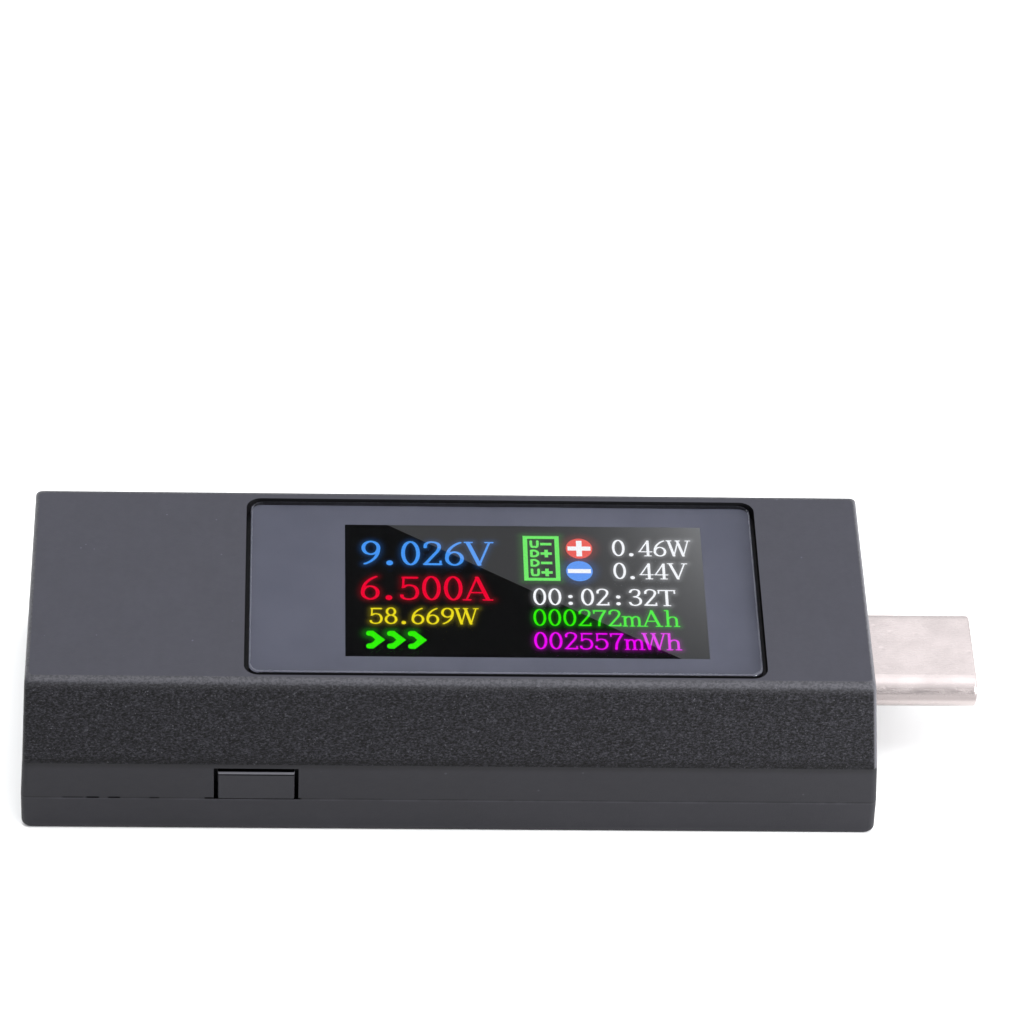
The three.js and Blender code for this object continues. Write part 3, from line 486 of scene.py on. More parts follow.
def plastic(name, colour, roughness, scale=3.0, depth=0.006):
    """Moulded plastic, ceramic or film with a fine grain."""
    g = Graph(name)
    cloud = g.noise(0.8, 3.0, 0.6)
    grain = g.noise(scale * 2, 3.0, 0.6)
    g.principled(
        Base_Color=g.mix(g.band(cloud, 0.3, 0.7), scaled(colour, 0.88), scaled(colour, 1.1)),
        Roughness=g.band(grain, 0.3, 0.7, roughness - 0.06, roughness + 0.06),
        Normal=g.bump(grain, depth, 0.6),
    )
    return g.material


def board():
    """Green solder mask with lighter tracks beneath it."""
    g = Graph("board_mask")
    tracks = g.cells(0.55, "DISTANCE_TO_EDGE", g.stretched(1.0, 1.0, 0.0))
    line = g.band(tracks, 0.03, 0.05, 1.0, 0.0)
    weave = g.noise(4.0, 2.0, 0.6)
    colour = g.mix(
        g.math("MULTIPLY", line, 0.55), (0.008, 0.075, 0.03, 1.0), (0.03, 0.17, 0.06, 1.0)
    )
    height = g.math("ADD", g.math("MULTIPLY", line, 0.6), g.math("MULTIPLY", weave, 0.25))
    g.principled(
        Base_Color=colour,
        Roughness=g.band(weave, 0.3, 0.7, 0.22, 0.34),
        Normal=g.bump(height, 0.02, 0.6),
    )
    return g.material


def capped(name, body, half_width):
    """A chip component: a ceramic body with a tin cap at each end along X.

    half_width is the bare part's, as a share of the whole length.
    """
    g = Graph(name)
    grain = g.noise(9.0, 3.0, 0.6)
    end = g.add("ShaderNodeTexCoord").outputs["Generated"]
    along = g.add("ShaderNodeSeparateXYZ", {0: end}).outputs["X"]
    away = g.math("ABSOLUTE", g.math("SUBTRACT", along, 0.5))
    cap = g.band(away, half_width, half_width + 0.02)
    colour = g.mix(cap, body, TIN)
    g.principled(
        Base_Color=g.mix(g.math("MULTIPLY", grain, 0.2), colour, BLACK),
        Metallic=cap,
        Roughness=g.band(grain, 0.3, 0.7, 0.28, 0.42),
        Normal=g.bump(grain, 0.008, 0.6),
    )
    return g.material


# ------------------------------------------------------------- the lit picture

# The diagonal where the panel's painted reflection, a pale sheen, begins: a point on it, and its
# slope.
SHEEN_START = (-7.54, 6.89)
SHEEN_SLOPE = -0.7157
SHEEN_SHARE = 0.236
# The panel's darkest level and how far it rises to white, as screen values.
SCREEN_BLACK, SCREEN_RANGE = 10 / 255, 239 / 255


def sheen(g):
    """Share of white laid over the picture as a painted reflection, above the diagonal, growing
    to the far corner.
    """
    x, y = g.axis("x"), g.axis("y")
    line = g.math("MULTIPLY", g.math("SUBTRACT", x, SHEEN_START[0]), SHEEN_SLOPE)
    above = g.math("SUBTRACT", g.math("SUBTRACT", y, SHEEN_START[1]), line)
    side = g.band(above, -0.03, 0.03)
    square = g.math("POWER", g.math("MAXIMUM", x, 0.001), 2.0)
    rise = g.math("MULTIPLY", square, g.band(y, -7.0, 7.0, 0.17, 1.04, smooth=False))
    share = g.math("ADD", g.math("MULTIPLY", rise, 0.0014), SHEEN_SHARE)
    return g.both(share, side)


def glowing(g, colour):
    """A black surface that gives off the colour."""
    g.principled(
        Base_Color=(0.002, 0.002, 0.002, 1.0),
        Roughness=0.6,
        Specular_IOR_Level=0.0,
        Emission_Color=colour,
        Emission_Strength=1.0,
    )


def backdrop():
    """The dark picture ground: black with a painted glow round the figures, and the painted
    reflection of the sheen.
    """
    g = Graph("picture_ground")
    glow = g.add("ShaderNodeAttribute", attribute_name="halo").outputs["Color"]
    screen = g.math("ADD", g.both(sheen(g), SCREEN_RANGE), SCREEN_BLACK)
    level = g.math("POWER", g.math("DIVIDE", g.math("ADD", screen, 0.055), 1.055), 2.4)
    grey = g.add("ShaderNodeCombineColor", {0: level, 1: level, 2: level}).outputs[0]
    glowing(g, g.mix(1.0, grey, glow, "ADD"))
    return g.material


def lit(name, colour):
    """A lit figure of the picture, washed paler under the painted reflection of the sheen."""
    g = Graph(name)
    wash = g.math("MULTIPLY", sheen(g), 0.3)
    shimmer = g.band(g.noise(6.0, 2.0, 0.5), 0.3, 0.7, 0.97, 1.04)
    grey = g.add("ShaderNodeCombineColor", {0: shimmer, 1: shimmer, 2: shimmer}).outputs[0]
    glowing(g, g.mix(wash, g.mix(1.0, colour, grey, "MULTIPLY"), PURE_WHITE))
    return g.material


# Glyphs are strokes drawn with an oval nib. Units are digit heights, from the baseline.
NIB = (0.098, 0.064)  # width and height of the nib


def oval(cx, cy, rx, ry, start=0.0, end=360.0, count=24):
    """Points along an oval, from one angle to another in degrees, both ends kept."""
    turn = [math.radians(start + (end - start) * i / count) for i in range(count + 1)]
    return [(cx + rx * math.cos(t), cy + ry * math.sin(t)) for t in turn]


def ring(cx, cy, rx, ry):
    """A closed oval as two open halves that overlap a little."""
    return [oval(cx, cy, rx, ry, -95, 95), oval(cx, cy, rx, ry, 85, 275)]


def smooth_line(points, steps=6):
    """A Catmull-Rom curve through the points."""
    ends = [points[0]] + list(points) + [points[-1]]
    made = []
    for a, b, c, d in zip(ends, ends[1:], ends[2:], ends[3:]):
        for i in range(steps):
            t = i / steps
            made.append(
                tuple(
                    0.5
                    * (
                        2 * b[k]
                        + (c[k] - a[k]) * t
                        + (2 * a[k] - 5 * b[k] + 4 * c[k] - d[k]) * t**2
                        + (3 * b[k] - a[k] - 3 * c[k] + d[k]) * t**3
                    )
                    for k in (0, 1)
                )
            )
    return made + [points[-1]]


def turned(strokes, cx, cy):
    """The strokes, half a turn round a middle."""
    return [([(2 * cx - x, 2 * cy - y) for x, y in line], w) for line, w in strokes]


def glyph_table():
    """Each character's advance, its strokes as (points, weight), and its dots."""

    def bend(weight, *points):
        """A curved stroke."""
        return smooth_line(points), weight

    def bar(x0, x1, y, weight):
        """A level stroke."""
        return [(x0, y), (x1, y)], weight

    six = [bend(0.9, (0.44, 0.95), (0.3, 0.85), (0.17, 0.68), (0.1, 0.47), (0.088, 0.29))]
    six += [(line, 1.0) for line in ring(0.285, 0.295, 0.197, 0.262)]
    two = [
        bend(
            0.95, (0.1, 0.74), (0.115, 0.87), (0.19, 0.95), (0.29, 0.967), (0.42, 0.91),
            (0.465, 0.77), (0.42, 0.6), (0.3, 0.4), (0.1, 0.07),
        ),
        bar(0.09, 0.48, 0.055, 1.25),
        ([(0.485, 0.055), (0.495, 0.18)], 0.6),
    ]
    three = [
        bend(
            0.95, (0.1, 0.8), (0.15, 0.92), (0.28, 0.967), (0.41, 0.91), (0.44, 0.76),
            (0.38, 0.6), (0.24, 0.535),
        ),
        bend(
            1.0, (0.24, 0.535), (0.39, 0.49), (0.475, 0.36), (0.465, 0.17), (0.36, 0.055),
            (0.24, 0.035), (0.13, 0.08), (0.08, 0.2),
        ),
    ]
    four = [
        ([(0.38, 0.94), (0.07, 0.3)], 0.6),
        bar(0.05, 0.53, 0.28, 0.8),
        ([(0.39, 0.94), (0.39, 0.035)], 1.1),
        bar(0.27, 0.5, 0.033, 0.7),
    ]
    five = [
        bar(0.13, 0.46, 0.92, 1.25),
        ([(0.13, 0.92), (0.115, 0.53)], 0.6),
        bend(
            0.95, (0.115, 0.52), (0.2, 0.595), (0.3, 0.61), (0.42, 0.55), (0.48, 0.4),
            (0.48, 0.25), (0.42, 0.1), (0.29, 0.035), (0.16, 0.055), (0.09, 0.12), (0.078, 0.2),
        ),
    ]
    seven = [
        bar(0.08, 0.49, 0.92, 1.25),
        ([(0.075, 0.92), (0.07, 0.78)], 0.6),
        bend(1.0, (0.49, 0.91), (0.36, 0.6), (0.28, 0.35), (0.25, 0.04)),
    ]
    eight = [(line, 0.95) for line in ring(0.285, 0.75, 0.155, 0.217)]
    eight += [(line, 1.0) for line in ring(0.285, 0.285, 0.195, 0.25)]
    vee = [
        ([(0.07, 0.96), (0.36, 0.045)], 1.15),
        ([(0.63, 0.96), (0.36, 0.045)], 0.6),
        bar(-0.01, 0.18, 0.965, 0.55),
        bar(0.53, 0.72, 0.965, 0.55),
    ]
    double_vee = [
        ([(0.06, 0.96), (0.25, 0.045)], 1.1),
        ([(0.43, 0.95), (0.25, 0.045)], 0.55),
        ([(0.4, 0.96), (0.61, 0.045)], 1.1),
        ([(0.81, 0.96), (0.61, 0.045)], 0.55),
        bar(-0.01, 0.16, 0.965, 0.55),
        bar(0.33, 0.49, 0.965, 0.55),
        bar(0.72, 0.89, 0.965, 0.55),
    ]
    ay = [
        ([(0.34, 0.95), (0.06, 0.04)], 0.6),
        ([(0.34, 0.95), (0.62, 0.04)], 1.15),
        bar(0.16, 0.5, 0.33, 0.6),
        bar(-0.02, 0.16, 0.033, 0.55),
        bar(0.5, 0.73, 0.033, 0.55),
    ]
    tee = [
        bar(0.04, 0.62, 0.925, 1.0),
        ([(0.04, 0.925), (0.03, 0.76)], 0.6),
        ([(0.62, 0.925), (0.63, 0.76)], 0.6),
        ([(0.33, 0.92), (0.33, 0.035)], 1.1),
        bar(0.21, 0.45, 0.033, 0.6),
    ]
    hump = [(0.1, 0.46), (0.17, 0.56), (0.27, 0.59), (0.34, 0.53), (0.37, 0.4), (0.37, 0.2)]
    hump += [(0.37, 0.035)]
    em = [([(0.1, 0.59), (0.1, 0.035)], 1.0)]
    em += [bend(0.95, *[(x + shift, y) for x, y in hump]) for shift in (0.0, 0.27)]
    em += [
        bar(0.01, 0.1, 0.59, 0.6),
        bar(0.02, 0.18, 0.033, 0.55),
        bar(0.29, 0.45, 0.033, 0.55),
        bar(0.56, 0.74, 0.033, 0.55),
    ]
    aitch = [
        ([(0.12, 0.965), (0.12, 0.035)], 1.0),
        bend(
            0.95, (0.12, 0.45), (0.2, 0.56), (0.32, 0.59), (0.42, 0.53), (0.45, 0.4),
            (0.45, 0.2), (0.45, 0.035),
        ),
        bar(0.02, 0.12, 0.965, 0.6),
        bar(0.02, 0.22, 0.033, 0.55),
        bar(0.36, 0.55, 0.033, 0.55),
    ]
    return {
        "0": (0.57, [(line, 1.0) for line in ring(0.285, 0.5, 0.195, 0.465)], []),
        "2": (0.57, two, []),
        "3": (0.57, three, []),
        "4": (0.57, four, []),
        "5": (0.57, five, []),
        "6": (0.57, six, []),
        "7": (0.57, seven, []),
        "8": (0.57, eight, []),
        "9": (0.57, turned(six, 0.285, 0.5), []),
        ".": (0.46, [], [(0.2, 0.095, 0.088, 0.1)]),
        ":": (0.66, [], [(0.3, 0.12, 0.085, 0.095), (0.3, 0.52, 0.085, 0.095)]),
        "V": (0.72, vee, []),
        "W": (0.88, double_vee, []),
        "A": (0.71, ay, []),
        "T": (0.66, tee, []),
        "m": (0.78, em, []),
        "h": (0.58, aitch, []),
    }


GLYPHS = glyph_table()


def nib_outline(points, width, height, cap=6):
    """The closed outline that an oval nib leaves along a smooth line."""
    half_w, half_h = width / 2, height / 2
    tangents = []
    for i, (x, y) in enumerate(points):
        x0, y0 = points[max(i - 1, 0)]
        x1, y1 = points[min(i + 1, len(points) - 1)]
        tangents.append(math.atan2(y1 - y0, x1 - x0))

    def edge(point, angle):
        nx, ny = math.cos(angle), math.sin(angle)
        size = math.hypot(half_w * nx, half_h * ny)
        return (point[0] + half_w**2 * nx / size, point[1] + half_h**2 * ny / size)

    quarter = math.pi / 2
    left = [edge(p, t + quarter) for p, t in zip(points, tangents)]
    right = [edge(p, t - quarter) for p, t in zip(points, tangents)]
    last, first = tangents[-1], tangents[0]
    end = [edge(points[-1], last + quarter - math.pi * i / cap) for i in range(1, cap)]
    start = [edge(points[0], first - quarter - math.pi * i / cap) for i in range(1, cap)]
    return left + end + right[::-1] + start


def write(text, x, baseline, height):
    """A line of text as (outlines, skeleton points), in millimetres on the panel."""
    outlines, bones = [], []
    for character, following in zip(text, text[1:] + " "):
        advance, strokes, dots = GLYPHS[character]
        advance += KERNING.get(character + following, 0.0)
        for line, weight in strokes:
            placed = [(x + px * height, baseline + py * height) for px, py in line]
            width = NIB[0] * weight * height
            outlines.append(nib_outline(placed, width, NIB[1] * height * max(weight, 0.8)))
            bones += placed
            if len(placed) == 2:
                (xa, ya), (xb, yb) = placed
                bones += [(xa + (xb - xa) * i / 8, ya + (yb - ya) * i / 8) for i in range(1, 8)]
        for cx, cy, rx, ry in dots:
            cx, cy = x + cx * height, baseline + cy * height
            outlines.append(oval(cx, cy, rx * height, ry * height)[:-1])
            bones.append((cx, cy))
        x += advance * height
    return outlines, bones


def box_outline(x0, y0, x1, y1):
    """A rectangle from its low corner to its high one."""
    return [(x0, y0), (x1, y0), (x1, y1), (x0, y1)]


def flat_piece(name, outlines, z, thickness, material):
    """One thin closed plate, the union of the outlines, standing on z."""
    points, faces = [], []
    for outline in outlines:
        area = sum(a[0] * b[1] - a[1] * b[0] for a, b in zip(outline, outline[1:] + outline[:1]))
        outline = outline if area > 0 else outline[::-1]
        faces.append(list(range(len(points), len(points) + len(outline))))
        points += [Vector(p) for p in outline]
    found, _, triangles, _, _, sources = delaunay_2d_cdt(points, [], faces, 0, 1e-5)
    kept = [t for t, s in zip(triangles, sources) if s]
    mesh = bmesh.new()
    verts = [mesh.verts.new((p.x * MM, p.y * MM, z * MM)) for p in found]
    for triangle in kept:
        mesh.faces.new([verts[i] for i in triangle])
    bmesh.ops.delete(mesh, geom=[v for v in mesh.verts if not v.link_faces], context="VERTS")
    bmesh.ops.dissolve_limit(
        mesh, angle_limit=0.02, verts=mesh.verts[:], edges=mesh.edges[:]
    )
    bmesh.ops.recalc_face_normals(mesh, faces=mesh.faces[:])
    if mesh.faces and sum(f.normal.z * f.calc_area() for f in mesh.faces) > 0:
        bmesh.ops.reverse_faces(mesh, faces=mesh.faces[:])
    grown = bmesh.ops.extrude_face_region(mesh, geom=mesh.faces[:])
    raised = [v for v in grown["geom"] if isinstance(v, bmesh.types.BMVert)]
    bmesh.ops.translate(mesh, verts=raised, vec=(0, 0, thickness * MM))
    bmesh.ops.recalc_face_normals(mesh, faces=mesh.faces[:])
    placed_piece(name, mesh, material)


def placed_piece(name, mesh, material):
    """A new piece from a finished bmesh, riding with the casing."""
    data = bpy.data.meshes.new(name)
    mesh.to_mesh(data)
    mesh.free()
    piece = bpy.data.objects.new(name, data)
    bpy.context.scene.collection.objects.link(piece)
    data.materials.append(material)
    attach(piece, "case")
    return piece


# The opening in the ink, and the picture just behind it.
OPENING_LEFT, OPENING_RIGHT = -10.61, 13.57
OPENING_LOW, OPENING_HIGH = -6.92, 6.96
PICTURE_SPARE = 0.35  # how far the picture runs on under the ink
GROUND_Z = PANEL_TOP + 0.002
GROUND_THICKNESS = 0.004
FIGURE_Z = GROUND_Z + 0.006
FIGURE_THICKNESS = 0.004
INK_Z = WINDOW_LOW.z + 0.003  # the print is bonded to the plate

BLUE, RED = linear(75, 160, 255), linear(255, 0, 50)
YELLOW, GREEN = linear(255, 235, 30), linear(50, 255, 0)
MAGENTA, WHITE = linear(255, 0, 255), scaled(linear(255, 255, 255), 1.1)
FRAME_GREEN = linear(105, 250, 90)
OVAL_RED, OVAL_BLUE = linear(252, 75, 60), linear(80, 155, 255)

# Readouts: name, text, left, baseline, height, colour.
READOUTS = [
    ("voltage", "9.026V", -9.6, 2.7, 2.6, BLUE),
    ("current", "6.500A", -9.66, -0.98, 2.57, RED),
    ("power", "58.669W", -9.04, -3.5, 1.74, YELLOW),
    ("drop_power", "0.46W", 7.42, 3.88, 1.76, WHITE),
    ("drop_voltage", "0.44V", 7.42, 1.43, 1.75, WHITE),
    ("time", "00:02:32T", 1.93, -1.39, 1.785, WHITE),
    ("charge", "000272mAh", 1.88, -3.56, 1.76, GREEN),
    ("energy", "002557mWh", 1.87, -5.98, 1.78, MAGENTA),
]
KERNING = {"mW": -0.1, "Ah": 0.12}  # added between two letters


def chevrons(left, low, high):
    """Three bold arrowheads in a row, blunt behind and pointed in front."""
    outlines, bones = [], []
    middle, pitch, reach = (low + high) / 2, 1.39, 1.27
    for i in range(3):
        x = left + pitch * i
        upper = oval(x + 0.2, high - 0.26, 0.2, 0.26, 90, 270, 6)
        hollow = [(x + 0.28, high - 0.52), (x + 0.42, high - 0.62), (x + 0.62, middle)]
        half = [(x + 0.48, high)] + upper + hollow
        mirrored = [(px, 2 * middle - py) for px, py in half[::-1]]
        outlines.append([(x + reach, middle)] + half + mirrored[1:])
        bones += half
    return outlines, bones


def protocol_box(left, low, right, high):
    """A framed box with four rows of a letter and a sign."""
    edge = 0.3
    outlines = [
        box_outline(left, low, left + edge, high),
        box_outline(right - edge, low, right, high),
        box_outline(left, low, right, low + edge),
        box_outline(left, high - edge, right, high),
    ]
    bones = []
    pitch, top_row = 1.01, high - 0.86
    letter_x, sign_x, half = left + 0.52, left + 1.18, 0.3
    bow = [(0.03, half), (0.28, half), (0.46, 0.12), (0.46, -0.12), (0.28, -half), (0.03, -half)]
    cup = [(0.03, half), (0.03, -0.08), (0.1, -half), (0.25, -half)]
    cup += [(0.4, -half), (0.47, -0.08), (0.47, half)]
    letter_u = [smooth_line(cup, 3)]
    letter_d = [smooth_line(bow, 3), [bow[0], bow[-1]]]
    for row in range(4):
        y = top_row - pitch * row
        lines = letter_u if row in (0, 3) else letter_d
        for line in lines:
            placed = [(letter_x + px, y + py) for px, py in line]
            outlines.append(nib_outline(placed, 0.18, 0.2))
            bones += placed
        outlines.append(box_outline(sign_x, y - 0.13, sign_x + 0.76, y + 0.13))
        if row in (1, 3):
            outlines.append(box_outline(sign_x + 0.26, y - 0.4, sign_x + 0.5, y + 0.4))
    rim = [(left, low), (right, low), (right, high), (left, high)]
    for (xa, ya), (xb, yb) in zip(rim, rim[1:] + rim[:1]):
        bones += [(xa + (xb - xa) * i / 12, ya + (yb - ya) * i / 12) for i in range(12)]
    return outlines, bones


def halo_ground(name, halos, material):
    """The picture's ground: a fine grid that carries a painted glow, a halo, round each lit
    figure.

    halos are (skeleton points, colour, reach, power).
    """
    x0, x1 = OPENING_LEFT - PICTURE_SPARE, OPENING_RIGHT + PICTURE_SPARE
    y0, y1 = OPENING_LOW - PICTURE_SPARE, OPENING_HIGH + PICTURE_SPARE
    step, chunk = 0.16, 64
    columns, rows = round((x1 - x0) / step), round((y1 - y0) / step)
    xs, ys = np.linspace(x0, x1, columns + 1), np.linspace(y0, y1, rows + 1)
    grid = np.array([(x, y) for y in ys for x in xs])
    light = np.zeros((len(grid), 3))
    for bones, colour, reach, power in halos:
        bones = np.array(bones)
        nearest = np.full(len(grid), np.inf)
        for start in range(0, len(bones), chunk):
            part = bones[start : start + chunk]
            gap = ((grid[:, None, :] - part[None]) ** 2).sum(2).min(1)
            nearest = np.minimum(nearest, gap)
        fall = np.exp(-nearest / reach**2) * power
        light += fall[:, None] * np.array(colour[:3])[None]
    mesh = bmesh.new()
    layer = mesh.verts.layers.float_color.new("halo")
    top_z = GROUND_Z + GROUND_THICKNESS
    top = [mesh.verts.new((x * MM, y * MM, top_z * MM)) for x, y in grid]
    for v, c in zip(top, light):
        v[layer] = (*c, 1.0)
    wide = columns + 1
    for r in range(rows):
        for c in range(columns):
            a = r * wide + c
            mesh.faces.new([top[a], top[a + 1], top[a + wide + 1], top[a + wide]])
    rim = [e for e in mesh.edges if len(e.link_faces) == 1]
    skirt = bmesh.ops.extrude_edge_only(mesh, edges=rim)["geom"]
    lower = [v for v in skirt if isinstance(v, bmesh.types.BMVert)]
    bmesh.ops.translate(mesh, verts=lower, vec=(0, 0, -GROUND_THICKNESS * MM))
    bmesh.ops.contextual_create(mesh, geom=[e for e in mesh.edges if len(e.link_faces) == 1])
    bmesh.ops.recalc_face_normals(mesh, faces=mesh.faces[:])
    placed_piece(name, mesh, material)


def lit_picture():
    """Every figure of the display, each its own thin plate, and the ground behind them."""
    halos = []

    def figure(name, outlines, finish, colour):
        flat_piece(name, outlines, FIGURE_Z, FIGURE_THICKNESS, lit("lit_" + finish, colour))

    for name, text, x, baseline, height, colour in READOUTS:
        outlines, bones = write(text, x, baseline, height)
        figure("readout_" + name, outlines, name, colour)
        halos.append((bones, colour, 0.18 * height**0.5, 0.11))
    outlines, bones = chevrons(-9.23, -6.05, -4.22)
    figure("flow_arrows", outlines, "arrows", GREEN)
    halos.append((bones, GREEN, 0.3, 0.11))
    outlines, bones = protocol_box(1.45, 1.19, 3.9, 5.96)
    figure("protocol_box", outlines, "box", FRAME_GREEN)
    halos.append((bones, FRAME_GREEN, 0.3, 0.08))
    for name, cx, cy, colour, upright in (
        ("plus", 5.25, 4.65, OVAL_RED, True),
        ("minus", 5.2, 2.24, OVAL_BLUE, False),
    ):
        rim = oval(cx, cy, 0.9, 1.07, count=40)[:-1]
        figure(name + "_oval", [rim], name + "_oval", colour)
        halos.append((rim, colour, 0.4, 0.1))
        bars = [box_outline(cx - 0.78, cy - 0.215, cx + 0.78, cy + 0.215)]
        if upright:
            bars.append(box_outline(cx - 0.19, cy - 0.83, cx + 0.19, cy + 0.83))
        flat_piece(name + "_sign", bars, FIGURE_Z + 0.005, 0.003, lit("lit_" + name, WHITE))
    halo_ground("picture_ground", halos, backdrop())


def ink_frame():
    """The printed frame under the window, open over the picture."""
    inset, radius, thickness = 0.03, 0.7, 0.01
    x0, x1 = WINDOW_LOW.x + inset, WINDOW_HIGH.x - inset
    y0, y1 = WINDOW_LOW.y + inset, WINDOW_HIGH.y - inset

    def corner(cx, cy, start):
        return oval(cx, cy, radius, radius, start, start + 90, 8)

    outer = (
        corner(x1 - radius, y1 - radius, 0)
        + corner(x0 + radius, y1 - radius, 90)
        + corner(x0 + radius, y0 + radius, 180)
        + corner(x1 - radius, y0 + radius, 270)
    )
    left = [p for p in outer if p[0] <= x0 + radius + 1e-6]
    right = [p for p in outer if p[0] >= x1 - radius - 1e-6]
    left_side = left + [(OPENING_LEFT, y0), (OPENING_LEFT, y1)]
    right_side = [p for p in right if p[1] > 0] + [(OPENING_RIGHT, y1), (OPENING_RIGHT, y0)]
    right_side += [p for p in right if p[1] < 0]
    strips = [
        left_side,
        right_side,
        box_outline(OPENING_LEFT, y0, OPENING_RIGHT, OPENING_LOW),
        box_outline(OPENING_LEFT, OPENING_HIGH, OPENING_RIGHT, y1),
    ]
    flat_piece("window_ink_frame", strips, INK_Z, thickness, window_ink())


# ----------------------------------------------------------- CAD node finishes


# A plane counts as broad from this area, and from this much area to its diagonal.
BROAD_AREA, BROAD_WIDTH = 4.0, 0.4
HARD_EDGE = math.radians(38)  # faces that meet at a sharper angle keep their edge


def flat_faces(mesh):
    """Which triangles belong to a broad plane, and so stay flat. Strips of a rounding don't."""
    groups = {}
    for face in mesh.polygons:
        normal, centre = face.normal, face.center / MM
        key = (*(round(c, 2) for c in normal), round(normal.dot(centre), 1))
        groups.setdefault(key, []).append(face)
    flat = set()
    for faces in groups.values():
        points = np.array([mesh.vertices[i].co / MM for face in faces for i in face.vertices])
        diagonal = np.linalg.norm(points.max(0) - points.min(0))
        area = sum(face.area for face in faces) / MM**2
        if area > BROAD_AREA and area / diagonal > BROAD_WIDTH:
            flat.update(face.index for face in faces)
    return flat


def finish_edges(node):
    """Broad planes of a node stay flat, roundings turn smooth, hard edges stay hard."""
    piece = NODES[node]
    mesh = piece.data
    for name in ("custom_normal", "sharp_edge"):
        if mesh.attributes.get(name):
            mesh.attributes.remove(mesh.attributes[name])
    flat = flat_faces(mesh)
    mesh.polygons.foreach_set("use_smooth", [i not in flat for i in range(len(mesh.polygons))])
    weld = piece.modifiers.new("join", "WELD")
    weld.merge_threshold = 1e-7
    split = piece.modifiers.new("part", "EDGE_SPLIT")
    split.split_angle = HARD_EDGE
    shade = piece.modifiers.new("shade", "WEIGHTED_NORMAL")
    shade.weight = 100
    shade.keep_sharp = True
    mesh.update()


def paint(node, *materials):
    """Gives a CAD node its materials, in the order of its faces' zones."""
    data = NODES[node].data
    data.materials.clear()
    for material in materials:
        data.materials.append(material)


TOP, TEXTURE, BAND, RECESS = range(4)  # the finishes of the upper case, in order


def zone_upper_case(piece):
    """Tells the top face, the leaning walls, the smooth band and the window's recess apart."""
    side, rear, front = WINDOW_HIGH.x + 0.32, WINDOW_HIGH.y + 0.2, WINDOW_LOW.y - 0.5
    recess_floor, slack = WINDOW_LOW.z - 0.2, 0.02
    for face in piece.data.polygons:
        centre = face.center / MM
        inside = abs(centre.x) < side and front < centre.y < rear
        if face.normal.z > 0.999 and centre.z > CASE_HIGH.z - slack / 2:
            zone = TOP
        elif inside and centre.z > recess_floor:
            zone = RECESS
        else:
            zone = TEXTURE if centre.z > FOLD_Z + slack else BAND
        face.material_index = zone


# Slots that share one finish: slot name to material.
FINISHES = {
    "button_plastic": case_band("button_satin", 1.12, 0.22, BUTTON_TOP - BUTTON_EDGE),
    "black_tape": plastic("tape_black", (0.012, 0.012, 0.013), 0.6),
    "silicon": plastic("die_silicon", (0.05, 0.055, 0.075), 0.2, 4.0, 0.002),
    "ribbon_film": plastic("film_amber", (0.36, 0.13, 0.02), 0.25, 2.0, 0.004),
    "white_plastic": plastic("frame_white", (0.72, 0.72, 0.69), 0.45),
    "clear_plastic": plastic("guide_clear", (0.7, 0.74, 0.76), 0.12, 2.0, 0.003),
    "foam": plastic("foam_black", (0.013, 0.013, 0.014), 0.9, 5.0, 0.08),
    "black_plastic": plastic("insulator_black", (0.011, 0.011, 0.012), 0.42),
    "spring_steel": metal("steel_spring", (0.56, 0.56, 0.57), 0.28),
    "nickel_plate": nickel(),
    "gold_plate": metal("gold_contact", (0.75, 0.48, 0.14), 0.22, 6.0),
    "circuit_board": board(),
    "chip_package": plastic("package_black", (0.014, 0.014, 0.015), 0.55, 6.0, 0.01),
    "ferrite": plastic("core_grey", (0.045, 0.045, 0.046), 0.6, 7.0, 0.02),
    "capacitor_ceramic": capped("chip_tan", (0.36, 0.22, 0.1, 1.0), 0.27),
    "resistor_ceramic": capped("chip_black", (0.012, 0.012, 0.013, 1.0), 0.3),
    "display_glass": plastic("panel_black", (0.004, 0.004, 0.005), 0.12, 2.0, 0.001),
}


def snap_dome():
    """The switch's snap dome: a bowed steel sheet under the plunger."""
    low, high = node_box("switch_dome")
    middle, radius = (low + high) / 2, (high.x - low.x) / 2
    sheet, rings, spokes = 0.07, 8, 48  # the sheet's thickness, and the mesh's divisions
    bow = high.y - low.y - sheet
    front = [(radius * i / rings, low.y + bow * (i / rings) ** 2) for i in range(rings + 1)]
    back = [(r, y + sheet) for r, y in front[::-1]]
    mesh = bmesh.new()
    rows = []
    for r, y in front + back:
        turns = [2 * math.pi * k / spokes for k in range(spokes if r > 0 else 1)]
        places = [(middle.x + r * math.cos(t), y, middle.z + r * math.sin(t)) for t in turns]
        rows.append([mesh.verts.new(Vector(place) * MM) for place in places])
    for a, b in zip(rows, rows[1:]):
        for k in range(spokes):
            n = (k + 1) % spokes
            corners = [a[k % len(a)], a[n % len(a)], b[n % len(b)], b[k % len(b)]]
            mesh.faces.new(list(dict.fromkeys(corners))).smooth = True
    bmesh.ops.recalc_face_normals(mesh, faces=mesh.faces[:])
    piece = placed_piece("snap_dome", mesh, FINISHES["spring_steel"])
    piece.modifiers.new("rim", "EDGE_SPLIT").split_angle = HARD_EDGE
    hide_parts("switch_dome")
    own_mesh(piece)


def dress_nodes():
    """Gives every CAD node its finish and its shading."""
    slots = {
        name: part.data.materials[0].name.split(".")[0] for name, part in NODES.items()
    }
    for name, slot in slots.items():
        if slot in FINISHES:
            paint(name, FINISHES[slot])
    paint("upper_case", case_top(), case_texture(), case_band("case_band"), recess_wall())
    zone_upper_case(NODES["upper_case"])
    paint("lower_case", case_band("case_lower", 1.1))
    paint("display_window", window_glass(), window_rim())
    window = NODES["display_window"]
    for face in window.data.polygons:
        face.material_index = 1 if abs(face.normal.z) < 0.3 else 0  # the rim, the clear faces
    window.visible_shadow = False
    for name in NODES:
        finish_edges(name)


